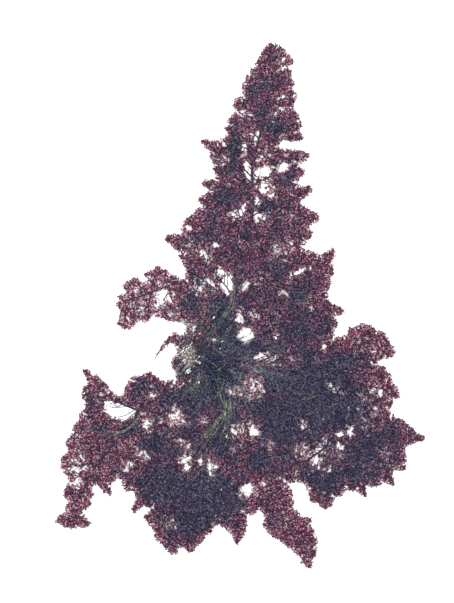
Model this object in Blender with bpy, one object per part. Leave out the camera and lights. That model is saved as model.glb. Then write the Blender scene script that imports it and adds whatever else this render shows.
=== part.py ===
"""A pressed, dried specimen of the red seaweed Callithamnion pikeanum, lying flat.

One small holdfast carries a fan of leafy fronds. Each frond is one thin arched blade:
its main axis and side branches stand up as round ribs, and its margin is cut to those ribs
into short pointed branchlets. Metres, +Z up, +Y towards the crown of the specimen.
The origin is the middle of the holdfast's flat underside.
"""

import math
import random

import bmesh
import bpy
from mathutils import Vector
from mathutils.geometry import delaunay_2d_cdt
from mathutils.kdtree import KDTree

# Driving sizes. The plan is laid out in photograph pixels, which this length scales.
SPECIMEN_LENGTH = 0.240
TOP_ROW = 43
BOTTOM_ROW = 568
METRES_PER_PIXEL = SPECIMEN_LENGTH / (BOTTOM_ROW - TOP_ROW)
HOLDFAST_PIXEL = (190, 356)

# The holdfast: a low oval cone of matted rhizoids.
HOLDFAST_WIDTH = 0.0090
HOLDFAST_LENGTH = 0.0130
HOLDFAST_HEIGHT = 0.0040
HOLDFAST_TOP_SHARE = 0.45
HOLDFAST_SIDES = 18
HOLDFAST_LOBE = 0.10

# Axes, side branches and branchlets.
BLADE_THICKNESS = 0.0007
AXIS_RADIUS = 0.0011
AXIS_TIP_RADIUS = 0.0006
FORK_RADIUS = 0.0008
RIB_RADIUS = 0.0006
RIB_TIP_RADIUS = 0.0004
AXIS_STEP = 0.0070
RIB_STEP = 0.0080
BRANCHLET_PITCH = 0.0048
BRANCHLET_ANGLE = math.radians(56)
BRANCHLET_REACH = 0.0070
BRANCHLET_LEAST = 0.0010
NOTCH_SHARE = 0.60
TIP_TAPER = 1.7
BLADE_GAP = 0.0002
NODE_GAP = 0.0004

# How side branches leave their axis, and the short ones that fill its bare stretches.
LATERAL_RISE = 0.45
LATERAL_BOW = 0.16
LATERAL_LEAST = 0.0040
ROOT_SNUG = 0.25
FILL_PITCH = 0.0055
FILL_ANGLE = math.radians(55)
FILL_LONGEST = 0.0240
FILL_CLEARANCE = 0.0024

# Heights: a low dome where branches overlie each other, soft waves, and arched blades.
DOME_PIXEL = (222, 368)
DOME_HEIGHT = 0.0014
DOME_RADIUS = 0.036
WAVE_HEIGHT = 0.0008
WAVE_LENGTH = 0.019
ARCH_HEIGHT = 0.0006

SAMPLE_STEP = 0.0005
MERGE_DISTANCE = 0.00005
PINCH_GAP = 0.00015
SEED = 11

# The plan: for each frond its axes, and for each axis the points that it runs through and
# the tips of its side branches, in pixels. A third number replaces LATERAL_RISE.
FRONDS = {
    "frond_crown": [
        (
            [(198, 350), (213, 329), (223, 316), (232, 300), (238, 279), (244, 262), (248, 243),
             (251, 218), (252, 190), (253, 170), (258, 140), (264, 105), (269, 75), (271, 44)],
            [(259, 54), (251, 70), (243, 87), (234, 103), (226, 125), (203, 142, 0.8),
             (211, 165), (203, 186), (195, 211), (184, 224), (167, 238), (180, 254), (187, 272),
             (289, 55), (294, 80), (299, 108), (302, 132), (308, 156, 0.26), (304, 174),
             (311, 190), (318, 217), (311, 233), (316, 256)],
        ),
    ],
    "frond_north_east": [
        (
            [(198, 352), (214, 348), (230, 347), (250, 347), (262, 338), (274, 325), (290, 309),
             (306, 293), (318, 277), (327, 263), (333, 251)],
            [(243, 298), (256, 285), (268, 277), (283, 277), (300, 275), (317, 264), (334, 269),
             (328, 290), (343, 311), (336, 330)],
        ),
    ],
    "frond_east": [
        (
            [(198, 357), (214, 357), (230, 359), (246, 363), (262, 365), (276, 361), (290, 353),
             (310, 351), (335, 352), (355, 347), (372, 339), (386, 333)],
            [(342, 337), (355, 326), (371, 323), (391, 344), (388, 359)],
        ),
    ],
    "frond_east_low": [
        (
            [(262, 366), (274, 368), (290, 369), (310, 376), (335, 383), (360, 386), (380, 388),
             (398, 396)],
            [(374, 365), (390, 377), (391, 407), (372, 405), (356, 407), (340, 406), (322, 400),
             (304, 392)],
        ),
    ],
    "frond_south": [
        (
            [(196, 362), (207, 371), (217, 383), (225, 397), (225, 411), (219, 425), (208, 440),
             (197, 455), (190, 478), (184, 505), (179, 530), (174, 552)],
            [(142, 515), (154, 535), (195, 550), (210, 530)],
        ),
    ],
    "frond_south_east": [
        (
            [(222, 396), (236, 400), (250, 404), (270, 406), (300, 413), (320, 425), (335, 438),
             (352, 446), (375, 446), (400, 442), (425, 437)],
            [(368, 411), (386, 412), (405, 421), (406, 455)],
        ),
        (
            [(335, 438), (334, 455), (331, 475), (328, 492), (323, 509)],
            [(309, 478), (309, 496), (343, 497)],
        ),
        (
            [(345, 444), (356, 465), (362, 480), (366, 496)],
            [(350, 483), (380, 488)],
        ),
        (
            [(365, 447), (382, 462), (390, 475), (394, 485)],
            [(406, 469)],
        ),
        (
            [(330, 434), (326, 446), (313, 456), (300, 466), (284, 477)],
            [(304, 480)],
        ),
    ],
    "frond_south_point": [
        (
            [(224, 405), (235, 409), (243, 418), (247, 430), (250, 450), (254, 475), (263, 492),
             (278, 510), (292, 530), (302, 550), (309, 567)],
            [(250, 512), (266, 531), (285, 546), (301, 560), (291, 482), (294, 503),
             (312, 521), (317, 542)],
        ),
    ],
    "frond_south_mid": [
        (
            [(222, 418), (228, 430), (228, 442), (226, 465), (228, 492), (233, 518), (237, 542)],
            [(222, 528), (244, 536), (246, 518)],
        ),
    ],
    "frond_south_inner": [
        (
            [(208, 440), (192, 437), (178, 436), (163, 446), (152, 465), (143, 488), (133, 510)],
            [(123, 487)],
        ),
    ],
    "frond_west_low": [
        (
            [(185, 362), (180, 374), (176, 386), (166, 397), (150, 404), (138, 409), (125, 405),
             (110, 397), (98, 384), (85, 370)],
            [(113, 389), (82, 392)],
        ),
        (
            [(166, 397), (160, 388), (152, 382), (149, 373)],
            [(134, 378), (124, 395), (172, 382)],
        ),
    ],
    "frond_south_west": [
        (
            [(138, 409), (134, 422), (123, 433), (110, 448), (98, 462), (88, 480), (80, 500),
             (72, 525)],
            [(65, 443), (61, 462), (65, 482), (66, 502), (57, 519), (86, 525), (92, 500),
             (110, 492)],
        ),
        (
            [(123, 433), (108, 431), (92, 429), (74, 428)],
            [(82, 412)],
        ),
    ],
    "frond_west": [
        (
            [(191, 348), (196, 335), (199, 320), (198, 305), (191, 292), (178, 284), (160, 289),
             (141, 296), (117, 304)],
            [(172, 274), (157, 266), (142, 274), (124, 284), (120, 322), (133, 326), (150, 320),
             (170, 313)],
        ),
    ],
    "frond_sprig": [
        (
            [(187, 350), (180, 339), (175, 335), (168, 341), (160, 350), (155, 359)],
            [],
        ),
    ],
}

# The margin of the whole specimen, tip to tip, clockwise from the crown, in pixels.
MARGIN = [
    (271, 42), (285, 48), (294, 61), (292, 72), (296, 84), (297, 98), (301, 113), (303, 138),
    (296, 147), (310, 156), (306, 172), (313, 189), (307, 205), (320, 217), (313, 233),
    (319, 256), (334, 249), (336, 270), (330, 288), (345, 311), (335, 336), (349, 325),
    (369, 322), (387, 329), (395, 352), (387, 362), (392, 379), (400, 395), (393, 410),
    (406, 420), (427, 437), (409, 447), (408, 468), (395, 487), (366, 497), (343, 498),
    (324, 511), (309, 501), (306, 487), (294, 479), (293, 500), (313, 519), (319, 539),
    (309, 568), (296, 557), (272, 540), (261, 527), (263, 515), (249, 514), (247, 527),
    (238, 545), (228, 532), (212, 531), (202, 541), (192, 553), (174, 554), (162, 547),
    (150, 530), (131, 511), (125, 492), (112, 492), (94, 496), (92, 523), (82, 529), (70, 529),
    (56, 519), (65, 503), (62, 480), (59, 467), (65, 443), (78, 413), (81, 388), (83, 368),
    (98, 376), (113, 388), (122, 392), (130, 379), (149, 371), (168, 381), (178, 371),
    (171, 356), (157, 363), (150, 360), (171, 333), (184, 331), (184, 316), (165, 318),
    (124, 330), (116, 323), (120, 313), (114, 304), (117, 293), (124, 283), (144, 272),
    (157, 264), (168, 275), (187, 280), (178, 254), (163, 238), (183, 221), (195, 210),
    (201, 184), (212, 170), (201, 141), (223, 139), (227, 118), (242, 87), (255, 62),
]

# Open patches inside the specimen: centre and half sizes, in pixels.
CLEARINGS = [
    (228, 285, 5, 8), (221, 271, 6, 4), (121, 412, 15, 7), (246, 334, 8, 7), (239, 315, 4, 6),
    (256, 315, 6, 5), (250, 389, 12, 8), (231, 390, 5, 5), (258, 373, 4, 5), (272, 357, 6, 3),
    (259, 355, 6, 4), (253, 430, 5, 7), (242, 428, 3, 4), (247, 488, 8, 6), (318, 456, 7, 9),
    (339, 440, 3, 8), (188, 459, 6, 6), (205, 463, 8, 7), (217, 462, 3, 8), (176, 415, 5, 6),
    (186, 445, 5, 5), (145, 425, 5, 4), (264, 172, 10, 4), (283, 168, 8, 4), (247, 153, 3, 9),
    (247, 176, 3, 9), (257, 138, 3, 6), (241, 215, 4, 8), (190, 227, 3, 3), (299, 272, 8, 3),
    (163, 293, 6, 5), (283, 66, 6, 3), (303, 424, 4, 4), (269, 446, 4, 4),
]

HOLDFAST_FINISH = ("#7a7c6a", 0.9)
FROND_FINISH = ("#4a3346", 0.8)


def at(pixel):
    """A pixel of the plan as a point of the specimen, in metres."""
    return Vector(
        (
            (pixel[0] - HOLDFAST_PIXEL[0]) * METRES_PER_PIXEL,
            (HOLDFAST_PIXEL[1] - pixel[1]) * METRES_PER_PIXEL,
        )
    )


def left_of(direction):
    return Vector((-direction.y, direction.x))


def resampled(points, step):
    """The same line with its points an equal distance apart, at most one step."""
    lengths = [0.0]
    for first, second in zip(points, points[1:]):
        lengths.append(lengths[-1] + (second - first).length)
    count = max(2, math.ceil(lengths[-1] / step) + 1)
    line = []
    leg = 0
    for index in range(count):
        target = lengths[-1] * index / (count - 1)
        while leg < len(lengths) - 2 and lengths[leg + 1] < target:
            leg += 1
        share = (target - lengths[leg]) / max(lengths[leg + 1] - lengths[leg], 1e-9)
        line.append(points[leg].lerp(points[leg + 1], min(1.0, share)))
    return line


def smooth_line(points):
    """A Catmull-Rom curve through the points."""
    ends = [points[0] * 2 - points[1], *points, points[-1] * 2 - points[-2]]
    line = []
    for a, b, c, d in zip(ends, ends[1:], ends[2:], ends[3:]):
        for index in range(12):
            t = index / 12
            line.append(
                b + (c - a) * t / 2 + (a * 2 - b * 5 + c * 4 - d) * t**2 / 2
                + (b * 3 - a - c * 3 + d) * t**3 / 2
            )
    return resampled([*line, points[-1]], SAMPLE_STEP)


class Branch:
    """An axis or a side branch: its centreline and the radius that tapers along it."""

    def __init__(self, frond, line, root_radius, tip_radius):
        self.frond = frond
        self.line = line
        self.root_radius = root_radius
        self.tip_radius = tip_radius
        self.length = (len(line) - 1) * (line[1] - line[0]).length

    def point(self, share):
        place = min(max(share, 0.0), 1.0) * (len(self.line) - 1)
        index = min(int(place), len(self.line) - 2)
        return self.line[index].lerp(self.line[index + 1], place - index)

    def heading(self, share):
        index = min(max(int(share * (len(self.line) - 1)), 0), len(self.line) - 2)
        low = max(index - 2, 0)
        high = min(index + 3, len(self.line) - 1)
        return (self.line[high] - self.line[low]).normalized()

    def radius(self, share):
        return self.root_radius + (self.tip_radius - self.root_radius) * share


class Growth:
    """All the branches so far, searched by place."""

    def __init__(self, branches):
        self.samples = [
            (branch, index / (len(branch.line) - 1), point)
            for branch in branches
            for index, point in enumerate(branch.line)
        ]
        self.tree = KDTree(len(self.samples))
        for index, (_, _, point) in enumerate(self.samples):
            self.tree.insert(point.to_3d(), index)
        self.tree.balance()

    def nearest(self, point):
        """The branch whose centreline is nearest, the share along it and the distance."""
        _, index, distance = self.tree.find(point.to_3d())
        branch, share, _ = self.samples[index]
        return branch, share, distance

    def near(self, point, radius):
        """Each sample within the radius, as its branch, the share along it and the distance."""
        found = []
        for _, index, distance in self.tree.find_range(point.to_3d(), radius):
            branch, share, _ = self.samples[index]
            found.append((branch, share, distance))
        return found


def in_holdfast(point, margin):
    reach_x = HOLDFAST_WIDTH / 2 * (1 + HOLDFAST_LOBE) + margin
    reach_y = HOLDFAST_LENGTH / 2 * (1 + HOLDFAST_LOBE) + margin
    return (point.x / reach_x) ** 2 + (point.y / reach_y) ** 2 < 1


def encloses(corners, point):
    """Whether a closed outline goes round a point."""
    inside = False
    for first, second in zip(corners, corners[1:] + corners[:1]):
        if (first.y > point.y) != (second.y > point.y):
            rise = (point.y - first.y) / (second.y - first.y)
            if first.x + rise * (second.x - first.x) > point.x:
                inside = not inside
    return inside


def in_growth(point):
    """Whether a point lies inside the margin of the specimen and outside its clearings."""
    for x, y, half_x, half_y in CLEARINGS:
        offset = (point - at((x, y))) / METRES_PER_PIXEL
        if (offset.x / half_x) ** 2 + (offset.y / half_y) ** 2 < 1:
            return False
    return encloses([at(pixel) for pixel in MARGIN], point)


def clear_of_others(point, radius, frond, growth):
    """Whether a round of that radius keeps its gap to the other fronds and the holdfast."""
    if in_holdfast(point, radius + NODE_GAP):
        return False
    for branch, share, distance in growth.near(point, radius + AXIS_RADIUS + NODE_GAP):
        if branch.frond != frond and distance < radius + branch.radius(share) + NODE_GAP:
            return False
    return True


def cut_clear(line, radius, frond, growth):
    """The line from its root, close against what carries it, to where it meets a neighbour."""
    snug = [clear_of_others(point, radius * ROOT_SNUG, frond, growth) for point in line]
    clear = [clear_of_others(point, radius, frond, growth) for point in line]
    root = snug.index(True)
    free = clear.index(True, root)
    stop = clear.index(False, free) if False in clear[free:] else len(line)
    return line[root:stop]


def planned_axes():
    axes = []
    for frond, plan in FRONDS.items():
        for number, (points, _) in enumerate(plan):
            line = smooth_line([at(pixel) for pixel in points])
            radius = FORK_RADIUS if number else AXIS_RADIUS
            line = cut_clear(line, radius, frond, Growth(axes))
            axes.append(Branch(frond, line, radius, AXIS_TIP_RADIUS))
    return axes


def lateral_to(axis, tip, rise):
    """The side branch that ends at tip, and leaves the axis behind the point abreast of it."""
    nearest = min(range(len(axis.line)), key=lambda index: (axis.line[index] - tip).length)
    offset = (axis.line[nearest] - tip).length
    share = max(nearest / (len(axis.line) - 1) - rise * offset / axis.length, 0.03)
    root = axis.point(share)
    bend = (root + tip) / 2 + axis.heading(share) * (tip - root).length * LATERAL_BOW
    line = []
    for index in range(25):
        t = index / 24
        line.append(root * (1 - t) ** 2 + bend * 2 * t * (1 - t) + tip * t**2)
    return resampled(line, SAMPLE_STEP)


def filler_from(axis, share, side, growth):
    """A short side branch that grows from a bare stretch until it nears a neighbour."""
    heading = axis.heading(share)
    direction = heading * math.cos(FILL_ANGLE) + left_of(heading) * math.sin(FILL_ANGLE) * side
    line = [axis.point(share)]
    for step in range(1, int(FILL_LONGEST / SAMPLE_STEP)):
        point = line[0] + direction * SAMPLE_STEP * step
        leaving = SAMPLE_STEP * step < FILL_CLEARANCE * 1.5
        crowded = any(
            not (leaving and branch is axis)
            for branch, _, _ in growth.near(point, FILL_CLEARANCE)
        )
        if crowded or not in_growth(point) or in_holdfast(point, FILL_CLEARANCE):
            break
        line.append(point)
    return line


def planned_laterals(axes):
    """The planned side branches, each cut clear of the other fronds, then the fillers."""
    laterals = []

    def add_lateral(axis, line):
        if (len(line) - 1) * SAMPLE_STEP > LATERAL_LEAST:
            laterals.append(Branch(axis.frond, line, RIB_RADIUS, RIB_TIP_RADIUS))

    plans = [tips for plan in FRONDS.values() for _, tips in plan]
    for axis, tips in zip(axes, plans):
        for tip in tips:
            line = lateral_to(axis, at(tip), tip[2] if len(tip) > 2 else LATERAL_RISE)
            add_lateral(axis, cut_clear(line, RIB_RADIUS * 2, axis.frond, Growth(axes + laterals)))
    for axis in axes:
        count = int(axis.length / FILL_PITCH)
        for index in range(1, count):
            for side in (1, -1):
                share = (index + 0.25 * side) / count
                add_lateral(axis, filler_from(axis, share, side, Growth(axes + laterals)))
    return laterals


class Drawing:
    """The flat drawing of a frond: its points, the lines between them and the outlines."""

    def __init__(self):
        self.points = []
        self.lines = []
        self.outlines = []

    def add(self, point):
        self.points.append(point)
        return len(self.points) - 1

    def add_rib(self, indices):
        self.lines += list(zip(indices, indices[1:]))

    def add_outline(self, indices):
        self.lines += list(zip(indices, indices[1:] + indices[:1]))
        self.outlines.append([self.points[index] for index in indices])


def draw_axis(drawing, axis):
    """A tapering ribbon along the axis, with its rib down the middle."""
    count = max(2, round(axis.length / AXIS_STEP))
    rib, left, right = [], [], []
    for index in range(count + 1):
        share = index / count
        middle = axis.point(share)
        across = left_of(axis.heading(share)) * axis.radius(share)
        rib.append(drawing.add(middle))
        left.append(drawing.add(middle + across))
        right.append(drawing.add(middle - across))
    drawing.add_rib(rib)
    drawing.add_outline(right + left[::-1])


def branchlet_length(branch, share, start, direction, growth):
    """How far a branchlet grows before it leaves its own branch's share of the room."""
    longest = min(BRANCHLET_REACH, (1 - share) * branch.length * TIP_TAPER)
    length = 0.0
    while length < longest:
        nearby = start + direction * (length + BLADE_GAP)
        beyond = start + direction * (length + NODE_GAP)
        if growth.nearest(nearby)[0] is not branch or not in_growth(nearby):
            break
        if growth.nearest(beyond)[0].frond != branch.frond or in_holdfast(beyond, NODE_GAP):
            break
        length += BLADE_GAP
    return length


def draw_margin(drawing, branch, side, growth, dice):
    """One margin of a side branch, from its root to its tip, cut into pointed branchlets."""
    count = max(1, round(branch.length / BRANCHLET_PITCH))
    tips = []
    lengths = []
    for index in range(count):
        share = (index + 0.5 + 0.2 * side) / count
        heading = branch.heading(share)
        across = left_of(heading) * side
        angle = BRANCHLET_ANGLE * dice.uniform(0.85, 1.15)
        direction = heading * math.cos(angle) + across * math.sin(angle)
        start = branch.point(share) + across * RIB_RADIUS
        room = branchlet_length(branch, share, start, direction, growth)
        lengths.append(room * dice.uniform(0.85, 1.0))
        tips.append(start + direction * lengths[-1])
    outline = []
    for index, (tip, length) in enumerate(zip(tips, lengths)):
        share = index / count
        depth = min(lengths[max(index - 1, 0)], length) * NOTCH_SHARE
        across = left_of(branch.heading(share)) * side
        outline.append(drawing.add(branch.point(share) + across * max(RIB_RADIUS, depth)))
        if length > BRANCHLET_LEAST:
            outline.append(drawing.add(tip))
    return outline


def draw_lateral(drawing, branch, growth, dice):
    """A side branch: its rib, and an outline that goes out along one margin and back."""
    count = max(1, round(branch.length / RIB_STEP))
    rib = [drawing.add(branch.point(index / count)) for index in range(count + 1)]
    drawing.add_rib(rib)
    left = draw_margin(drawing, branch, 1, growth, dice)
    right = draw_margin(drawing, branch, -1, growth, dice)
    drawing.add_outline([rib[0], *right, rib[-1], *left[::-1]])


def half_thickness(point, growth):
    """Half the thickness at a point: that of the blade, or more where a rib swells it."""
    branch, share, distance = growth.nearest(point)
    across = min(distance / branch.radius(share), 1.0)
    return max(BLADE_THICKNESS / 2, branch.radius(share) * (1 - across))


def underside(point):
    """The height of the ground side, which lies flat in the troughs of the waves."""
    from_dome = (point - at(DOME_PIXEL)).length / DOME_RADIUS
    turn = math.tau / WAVE_LENGTH
    wave = math.sin(point.x * turn + 1.3) * math.sin(point.y * turn * 0.8)
    return DOME_HEIGHT * math.exp(-from_dome**2) + WAVE_HEIGHT * max(0.0, wave)


def part_pinches(work):
    """Where two blades meet only at a corner, each gets its own corner, drawn back a little."""
    for vert in work.verts[:]:
        borders = [edge for edge in vert.link_edges if edge.is_boundary]
        if len(borders) > 2:
            for corner in (vert, *bmesh.utils.vert_separate(vert, borders)):
                centres = [face.calc_center_median() for face in corner.link_faces]
                middle = sum(centres, Vector((0, 0, 0))) / len(centres)
                corner.co += (middle - corner.co).normalized() * PINCH_GAP


def raise_frond(name, drawing, growth):
    """The drawing filled with triangles, laid over its underside and given its thickness."""
    corners, _, triangles, *_ = delaunay_2d_cdt(
        drawing.points, drawing.lines, [], 0, MERGE_DISTANCE
    )
    work = bmesh.new()
    verts = [work.verts.new((*corner, 0.0)) for corner in corners]
    for triangle in triangles:
        middle = sum((corners[index] for index in triangle), Vector((0, 0))) / 3
        if any(encloses(outline, middle) for outline in drawing.outlines):
            work.faces.new([verts[index] for index in triangle])
    bmesh.ops.delete(work, geom=[v for v in work.verts if not v.link_faces], context="VERTS")
    part_pinches(work)
    extruded = bmesh.ops.extrude_face_region(work, geom=work.faces[:])["geom"]
    upper = {item for item in extruded if isinstance(item, bmesh.types.BMVert)}
    for vert in work.verts:
        point = vert.co.xy
        half = half_thickness(point, growth)
        arch = ARCH_HEIGHT * (half - BLADE_THICKNESS / 2) / RIB_RADIUS
        vert.co.z = underside(point) + arch + (half * 2 if vert in upper else 0.0)
    bmesh.ops.recalc_face_normals(work, faces=work.faces[:])
    mesh = bpy.data.meshes.new(name)
    work.to_mesh(mesh)
    work.free()
    return bpy.data.objects.new(name, mesh)


def make_fronds():
    dice = random.Random(SEED)
    axes = planned_axes()
    laterals = planned_laterals(axes)
    growth = Growth(axes + laterals)
    fronds = []
    for name in FRONDS:
        drawing = Drawing()
        for axis in axes:
            if axis.frond == name:
                draw_axis(drawing, axis)
        for branch in laterals:
            if branch.frond == name:
                draw_lateral(drawing, branch, growth, dice)
        fronds.append(raise_frond(name, drawing, growth))
    return fronds


def make_holdfast():
    """A low cone with a flat underside, whose sides are drawn into shallow lobes."""
    work = bmesh.new()
    bmesh.ops.create_cone(
        work, cap_ends=True, segments=HOLDFAST_SIDES, radius1=1.0,
        radius2=HOLDFAST_TOP_SHARE, depth=HOLDFAST_HEIGHT,
    )
    for vert in work.verts:
        angle = math.atan2(vert.co.y, vert.co.x)
        lobe = 1 + HOLDFAST_LOBE * math.sin(angle * 5 + 0.6)
        vert.co.x *= HOLDFAST_WIDTH / 2 * lobe
        vert.co.y *= HOLDFAST_LENGTH / 2 * lobe
        vert.co.z += HOLDFAST_HEIGHT / 2
    mesh = bpy.data.meshes.new("holdfast")
    work.to_mesh(mesh)
    work.free()
    return bpy.data.objects.new("holdfast", mesh)


def finish_of(name, hex_colour, roughness):
    material = bpy.data.materials.new(name)
    material.use_nodes = True
    shader = material.node_tree.nodes["Principled BSDF"]
    colour = [int(hex_colour[index : index + 2], 16) / 255 for index in (1, 3, 5)]
    shader.inputs["Base Color"].default_value = (*[value**2.2 for value in colour], 1.0)
    shader.inputs["Roughness"].default_value = roughness
    shader.inputs["Metallic"].default_value = 0.0
    return material


def main():
    for item in list(bpy.data.objects):
        bpy.data.objects.remove(item, do_unlink=True)
    specimen = bpy.data.collections.new("callithamnion_pikeanum")
    bpy.context.scene.collection.children.link(specimen)
    holdfast = make_holdfast()
    holdfast.data.materials.append(finish_of("holdfast_felt", *HOLDFAST_FINISH))
    specimen.objects.link(holdfast)
    for frond in make_fronds():
        frond.data.materials.append(finish_of(f"{frond.name}_tissue", *FROND_FINISH))
        frond.data.shade_smooth()
        frond.data.set_sharp_from_angle(angle=math.radians(50))
        specimen.objects.link(frond)


main()
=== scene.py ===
"""Looks of a pressed, dried specimen of the red seaweed Callithamnion pikeanum, lying flat.

Each frond of the frame is replaced by its stems and by thousands of small feathery sprays,
which together make a dense felt: slate where many layers lie on each other, rose where one
does. The holdfast is replaced by a mat of rhizoids with shell sand caught in it.
The plan is laid out in photograph pixels, as in the part's source. Metres, +Z up.
"""

import math

import bpy
import numpy as np
from mathutils import Euler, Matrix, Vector, noise
from mathutils.kdtree import KDTree


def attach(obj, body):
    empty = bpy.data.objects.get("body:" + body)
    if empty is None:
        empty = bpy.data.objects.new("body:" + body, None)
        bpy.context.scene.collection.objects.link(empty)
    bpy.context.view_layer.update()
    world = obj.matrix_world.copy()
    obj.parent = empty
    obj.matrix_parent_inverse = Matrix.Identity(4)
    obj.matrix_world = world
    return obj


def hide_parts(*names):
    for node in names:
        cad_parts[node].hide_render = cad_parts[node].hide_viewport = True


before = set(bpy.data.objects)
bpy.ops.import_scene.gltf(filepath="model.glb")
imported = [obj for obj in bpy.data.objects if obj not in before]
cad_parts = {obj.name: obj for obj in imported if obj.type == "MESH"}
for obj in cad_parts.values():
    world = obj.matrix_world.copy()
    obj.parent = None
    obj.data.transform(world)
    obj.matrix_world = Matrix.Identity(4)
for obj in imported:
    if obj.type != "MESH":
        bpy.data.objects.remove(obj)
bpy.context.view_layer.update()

# The plan: metres for one pixel, and the pixel that lies over the origin.
MM = 0.001
IMAGE_WIDTH = 454
IMAGE_HEIGHT = 603
PIXEL = 0.240 / 525
HOLDFAST_PIXEL = (190, 356)
SEED = 23

# The margin of the whole specimen, tip to tip, clockwise from the crown, in pixels.
MARGIN = [
    (271, 43), (277, 45), (282, 48), (289, 56), (293, 61), (293, 63), (290, 66), (279, 67),
    (280, 69), (288, 69), (291, 71), (291, 76), (290, 78), (294, 82), (294, 85), (291, 89),
    (296, 94), (295, 100), (293, 109), (297, 115), (300, 122), (302, 127), (298, 131),
    (303, 138), (299, 141), (289, 141), (282, 137), (279, 143), (278, 148), (285, 152),
    (292, 150), (300, 152), (308, 154), (309, 158), (298, 164), (299, 168), (304, 170),
    (304, 175), (298, 180), (296, 184), (302, 187), (309, 185), (312, 190), (307, 196),
    (301, 200), (301, 205), (309, 210), (317, 213), (319, 220), (312, 224), (307, 228),
    (313, 232), (310, 237), (301, 247), (304, 250), (313, 252), (317, 256), (318, 259),
    (319, 256), (326, 252), (333, 248), (335, 251), (334, 257), (331, 263), (334, 269),
    (333, 274), (329, 279), (331, 284), (327, 291), (327, 298), (330, 304), (338, 306),
    (344, 312), (340, 315), (335, 315), (335, 320), (338, 325), (334, 328), (332, 334),
    (336, 338), (341, 336), (348, 335), (349, 327), (354, 328), (361, 324), (370, 325),
    (377, 331), (384, 333), (389, 341), (391, 347), (394, 353), (393, 357), (383, 358),
    (375, 362), (378, 366), (384, 367), (391, 377), (389, 381), (396, 386), (399, 397),
    (395, 398), (389, 397), (392, 402), (391, 406), (388, 409), (391, 414), (395, 417),
    (403, 420), (409, 426), (417, 433), (424, 436), (424, 440), (415, 442), (404, 446),
    (403, 451), (406, 458), (405, 470), (398, 468), (392, 468), (391, 477), (394, 485),
    (388, 484), (384, 481), (377, 485), (367, 485), (364, 489), (366, 496), (361, 494),
    (358, 490), (352, 491), (345, 489), (342, 496), (336, 495), (333, 499), (331, 506),
    (325, 510), (322, 506), (316, 502), (310, 501), (309, 492), (305, 484), (301, 482),
    (295, 481), (287, 483), (292, 491), (293, 503), (292, 509), (297, 511), (300, 517),
    (311, 518), (310, 525), (313, 528), (314, 535), (317, 539), (316, 547), (316, 555),
    (313, 559), (311, 567), (309, 568), (305, 563), (302, 559), (297, 554), (290, 548),
    (285, 545), (278, 539), (273, 537), (267, 531), (263, 524), (265, 514), (263, 511),
    (257, 510), (255, 513), (250, 514), (246, 512), (247, 522), (246, 530), (242, 538),
    (237, 544), (234, 538), (233, 534), (229, 531), (220, 524), (214, 525), (212, 532),
    (206, 535), (201, 542), (195, 547), (193, 552), (188, 549), (184, 547), (177, 547),
    (176, 554), (170, 553), (164, 546), (157, 540), (154, 537), (156, 533), (152, 528),
    (144, 517), (150, 511), (150, 507), (144, 505), (139, 509), (134, 513), (132, 509),
    (136, 503), (135, 491), (130, 489), (126, 491), (122, 485), (123, 480), (120, 477),
    (110, 483), (111, 489), (110, 495), (103, 490), (97, 485), (93, 485), (91, 489), (94, 495),
    (89, 498), (91, 503), (90, 506), (83, 511), (84, 517), (91, 523), (89, 526), (81, 527),
    (70, 528), (63, 526), (56, 521), (60, 514), (66, 513), (65, 509), (70, 503), (64, 495),
    (64, 489), (69, 484), (68, 476), (65, 472), (61, 468), (61, 461), (63, 455), (69, 452),
    (66, 444), (70, 438), (74, 432), (73, 428), (76, 423), (81, 420), (79, 414), (86, 408),
    (85, 402), (82, 395), (83, 389), (87, 388), (89, 384), (86, 375), (83, 369), (89, 371),
    (91, 377), (96, 375), (103, 381), (108, 386), (108, 390), (116, 395), (122, 397), (125, 389),
    (129, 382), (133, 377), (142, 375), (150, 372), (156, 376), (160, 381), (166, 382),
    (172, 380), (173, 386), (176, 386), (178, 377), (179, 370), (173, 368), (172, 361),
    (175, 355), (176, 350), (174, 345), (171, 344), (167, 348), (163, 351), (159, 354),
    (155, 359), (157, 352), (160, 346), (164, 341), (168, 335), (172, 331), (176, 332),
    (181, 334), (186, 330), (186, 323), (185, 318), (177, 320), (171, 320), (164, 318),
    (157, 316), (151, 315), (150, 318), (147, 322), (140, 320), (135, 322), (134, 327),
    (129, 328), (124, 330), (122, 326), (117, 323), (123, 320), (125, 317), (120, 317),
    (123, 314), (122, 310), (119, 309), (122, 307), (116, 305), (120, 302), (122, 299),
    (118, 296), (124, 296), (126, 292), (124, 288), (124, 284), (130, 280), (135, 277),
    (139, 281), (144, 282), (150, 280), (149, 277), (144, 274), (150, 271), (154, 271),
    (157, 266), (161, 269), (166, 270), (170, 275), (175, 277), (180, 279), (185, 280),
    (186, 275), (186, 271), (184, 263), (179, 255), (182, 253), (181, 251), (177, 251),
    (172, 245), (168, 243), (166, 240), (166, 236), (172, 234), (180, 234), (185, 233),
    (185, 229), (182, 229), (186, 226), (183, 222), (184, 220), (189, 217), (195, 212),
    (196, 210), (202, 207), (202, 204), (198, 201), (199, 198), (209, 192), (208, 189),
    (202, 184), (203, 181), (213, 180), (217, 178), (213, 169), (214, 165), (212, 160),
    (209, 155), (211, 152), (205, 146), (201, 141), (205, 139), (214, 142), (221, 141),
    (229, 134), (225, 128), (229, 125), (228, 120), (235, 113), (236, 110), (233, 105),
    (235, 100), (243, 97), (244, 94), (242, 87), (245, 80), (249, 76), (251, 73), (250, 71),
    (256, 66), (256, 63), (260, 57), (261, 53), (266, 47),
]

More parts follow.
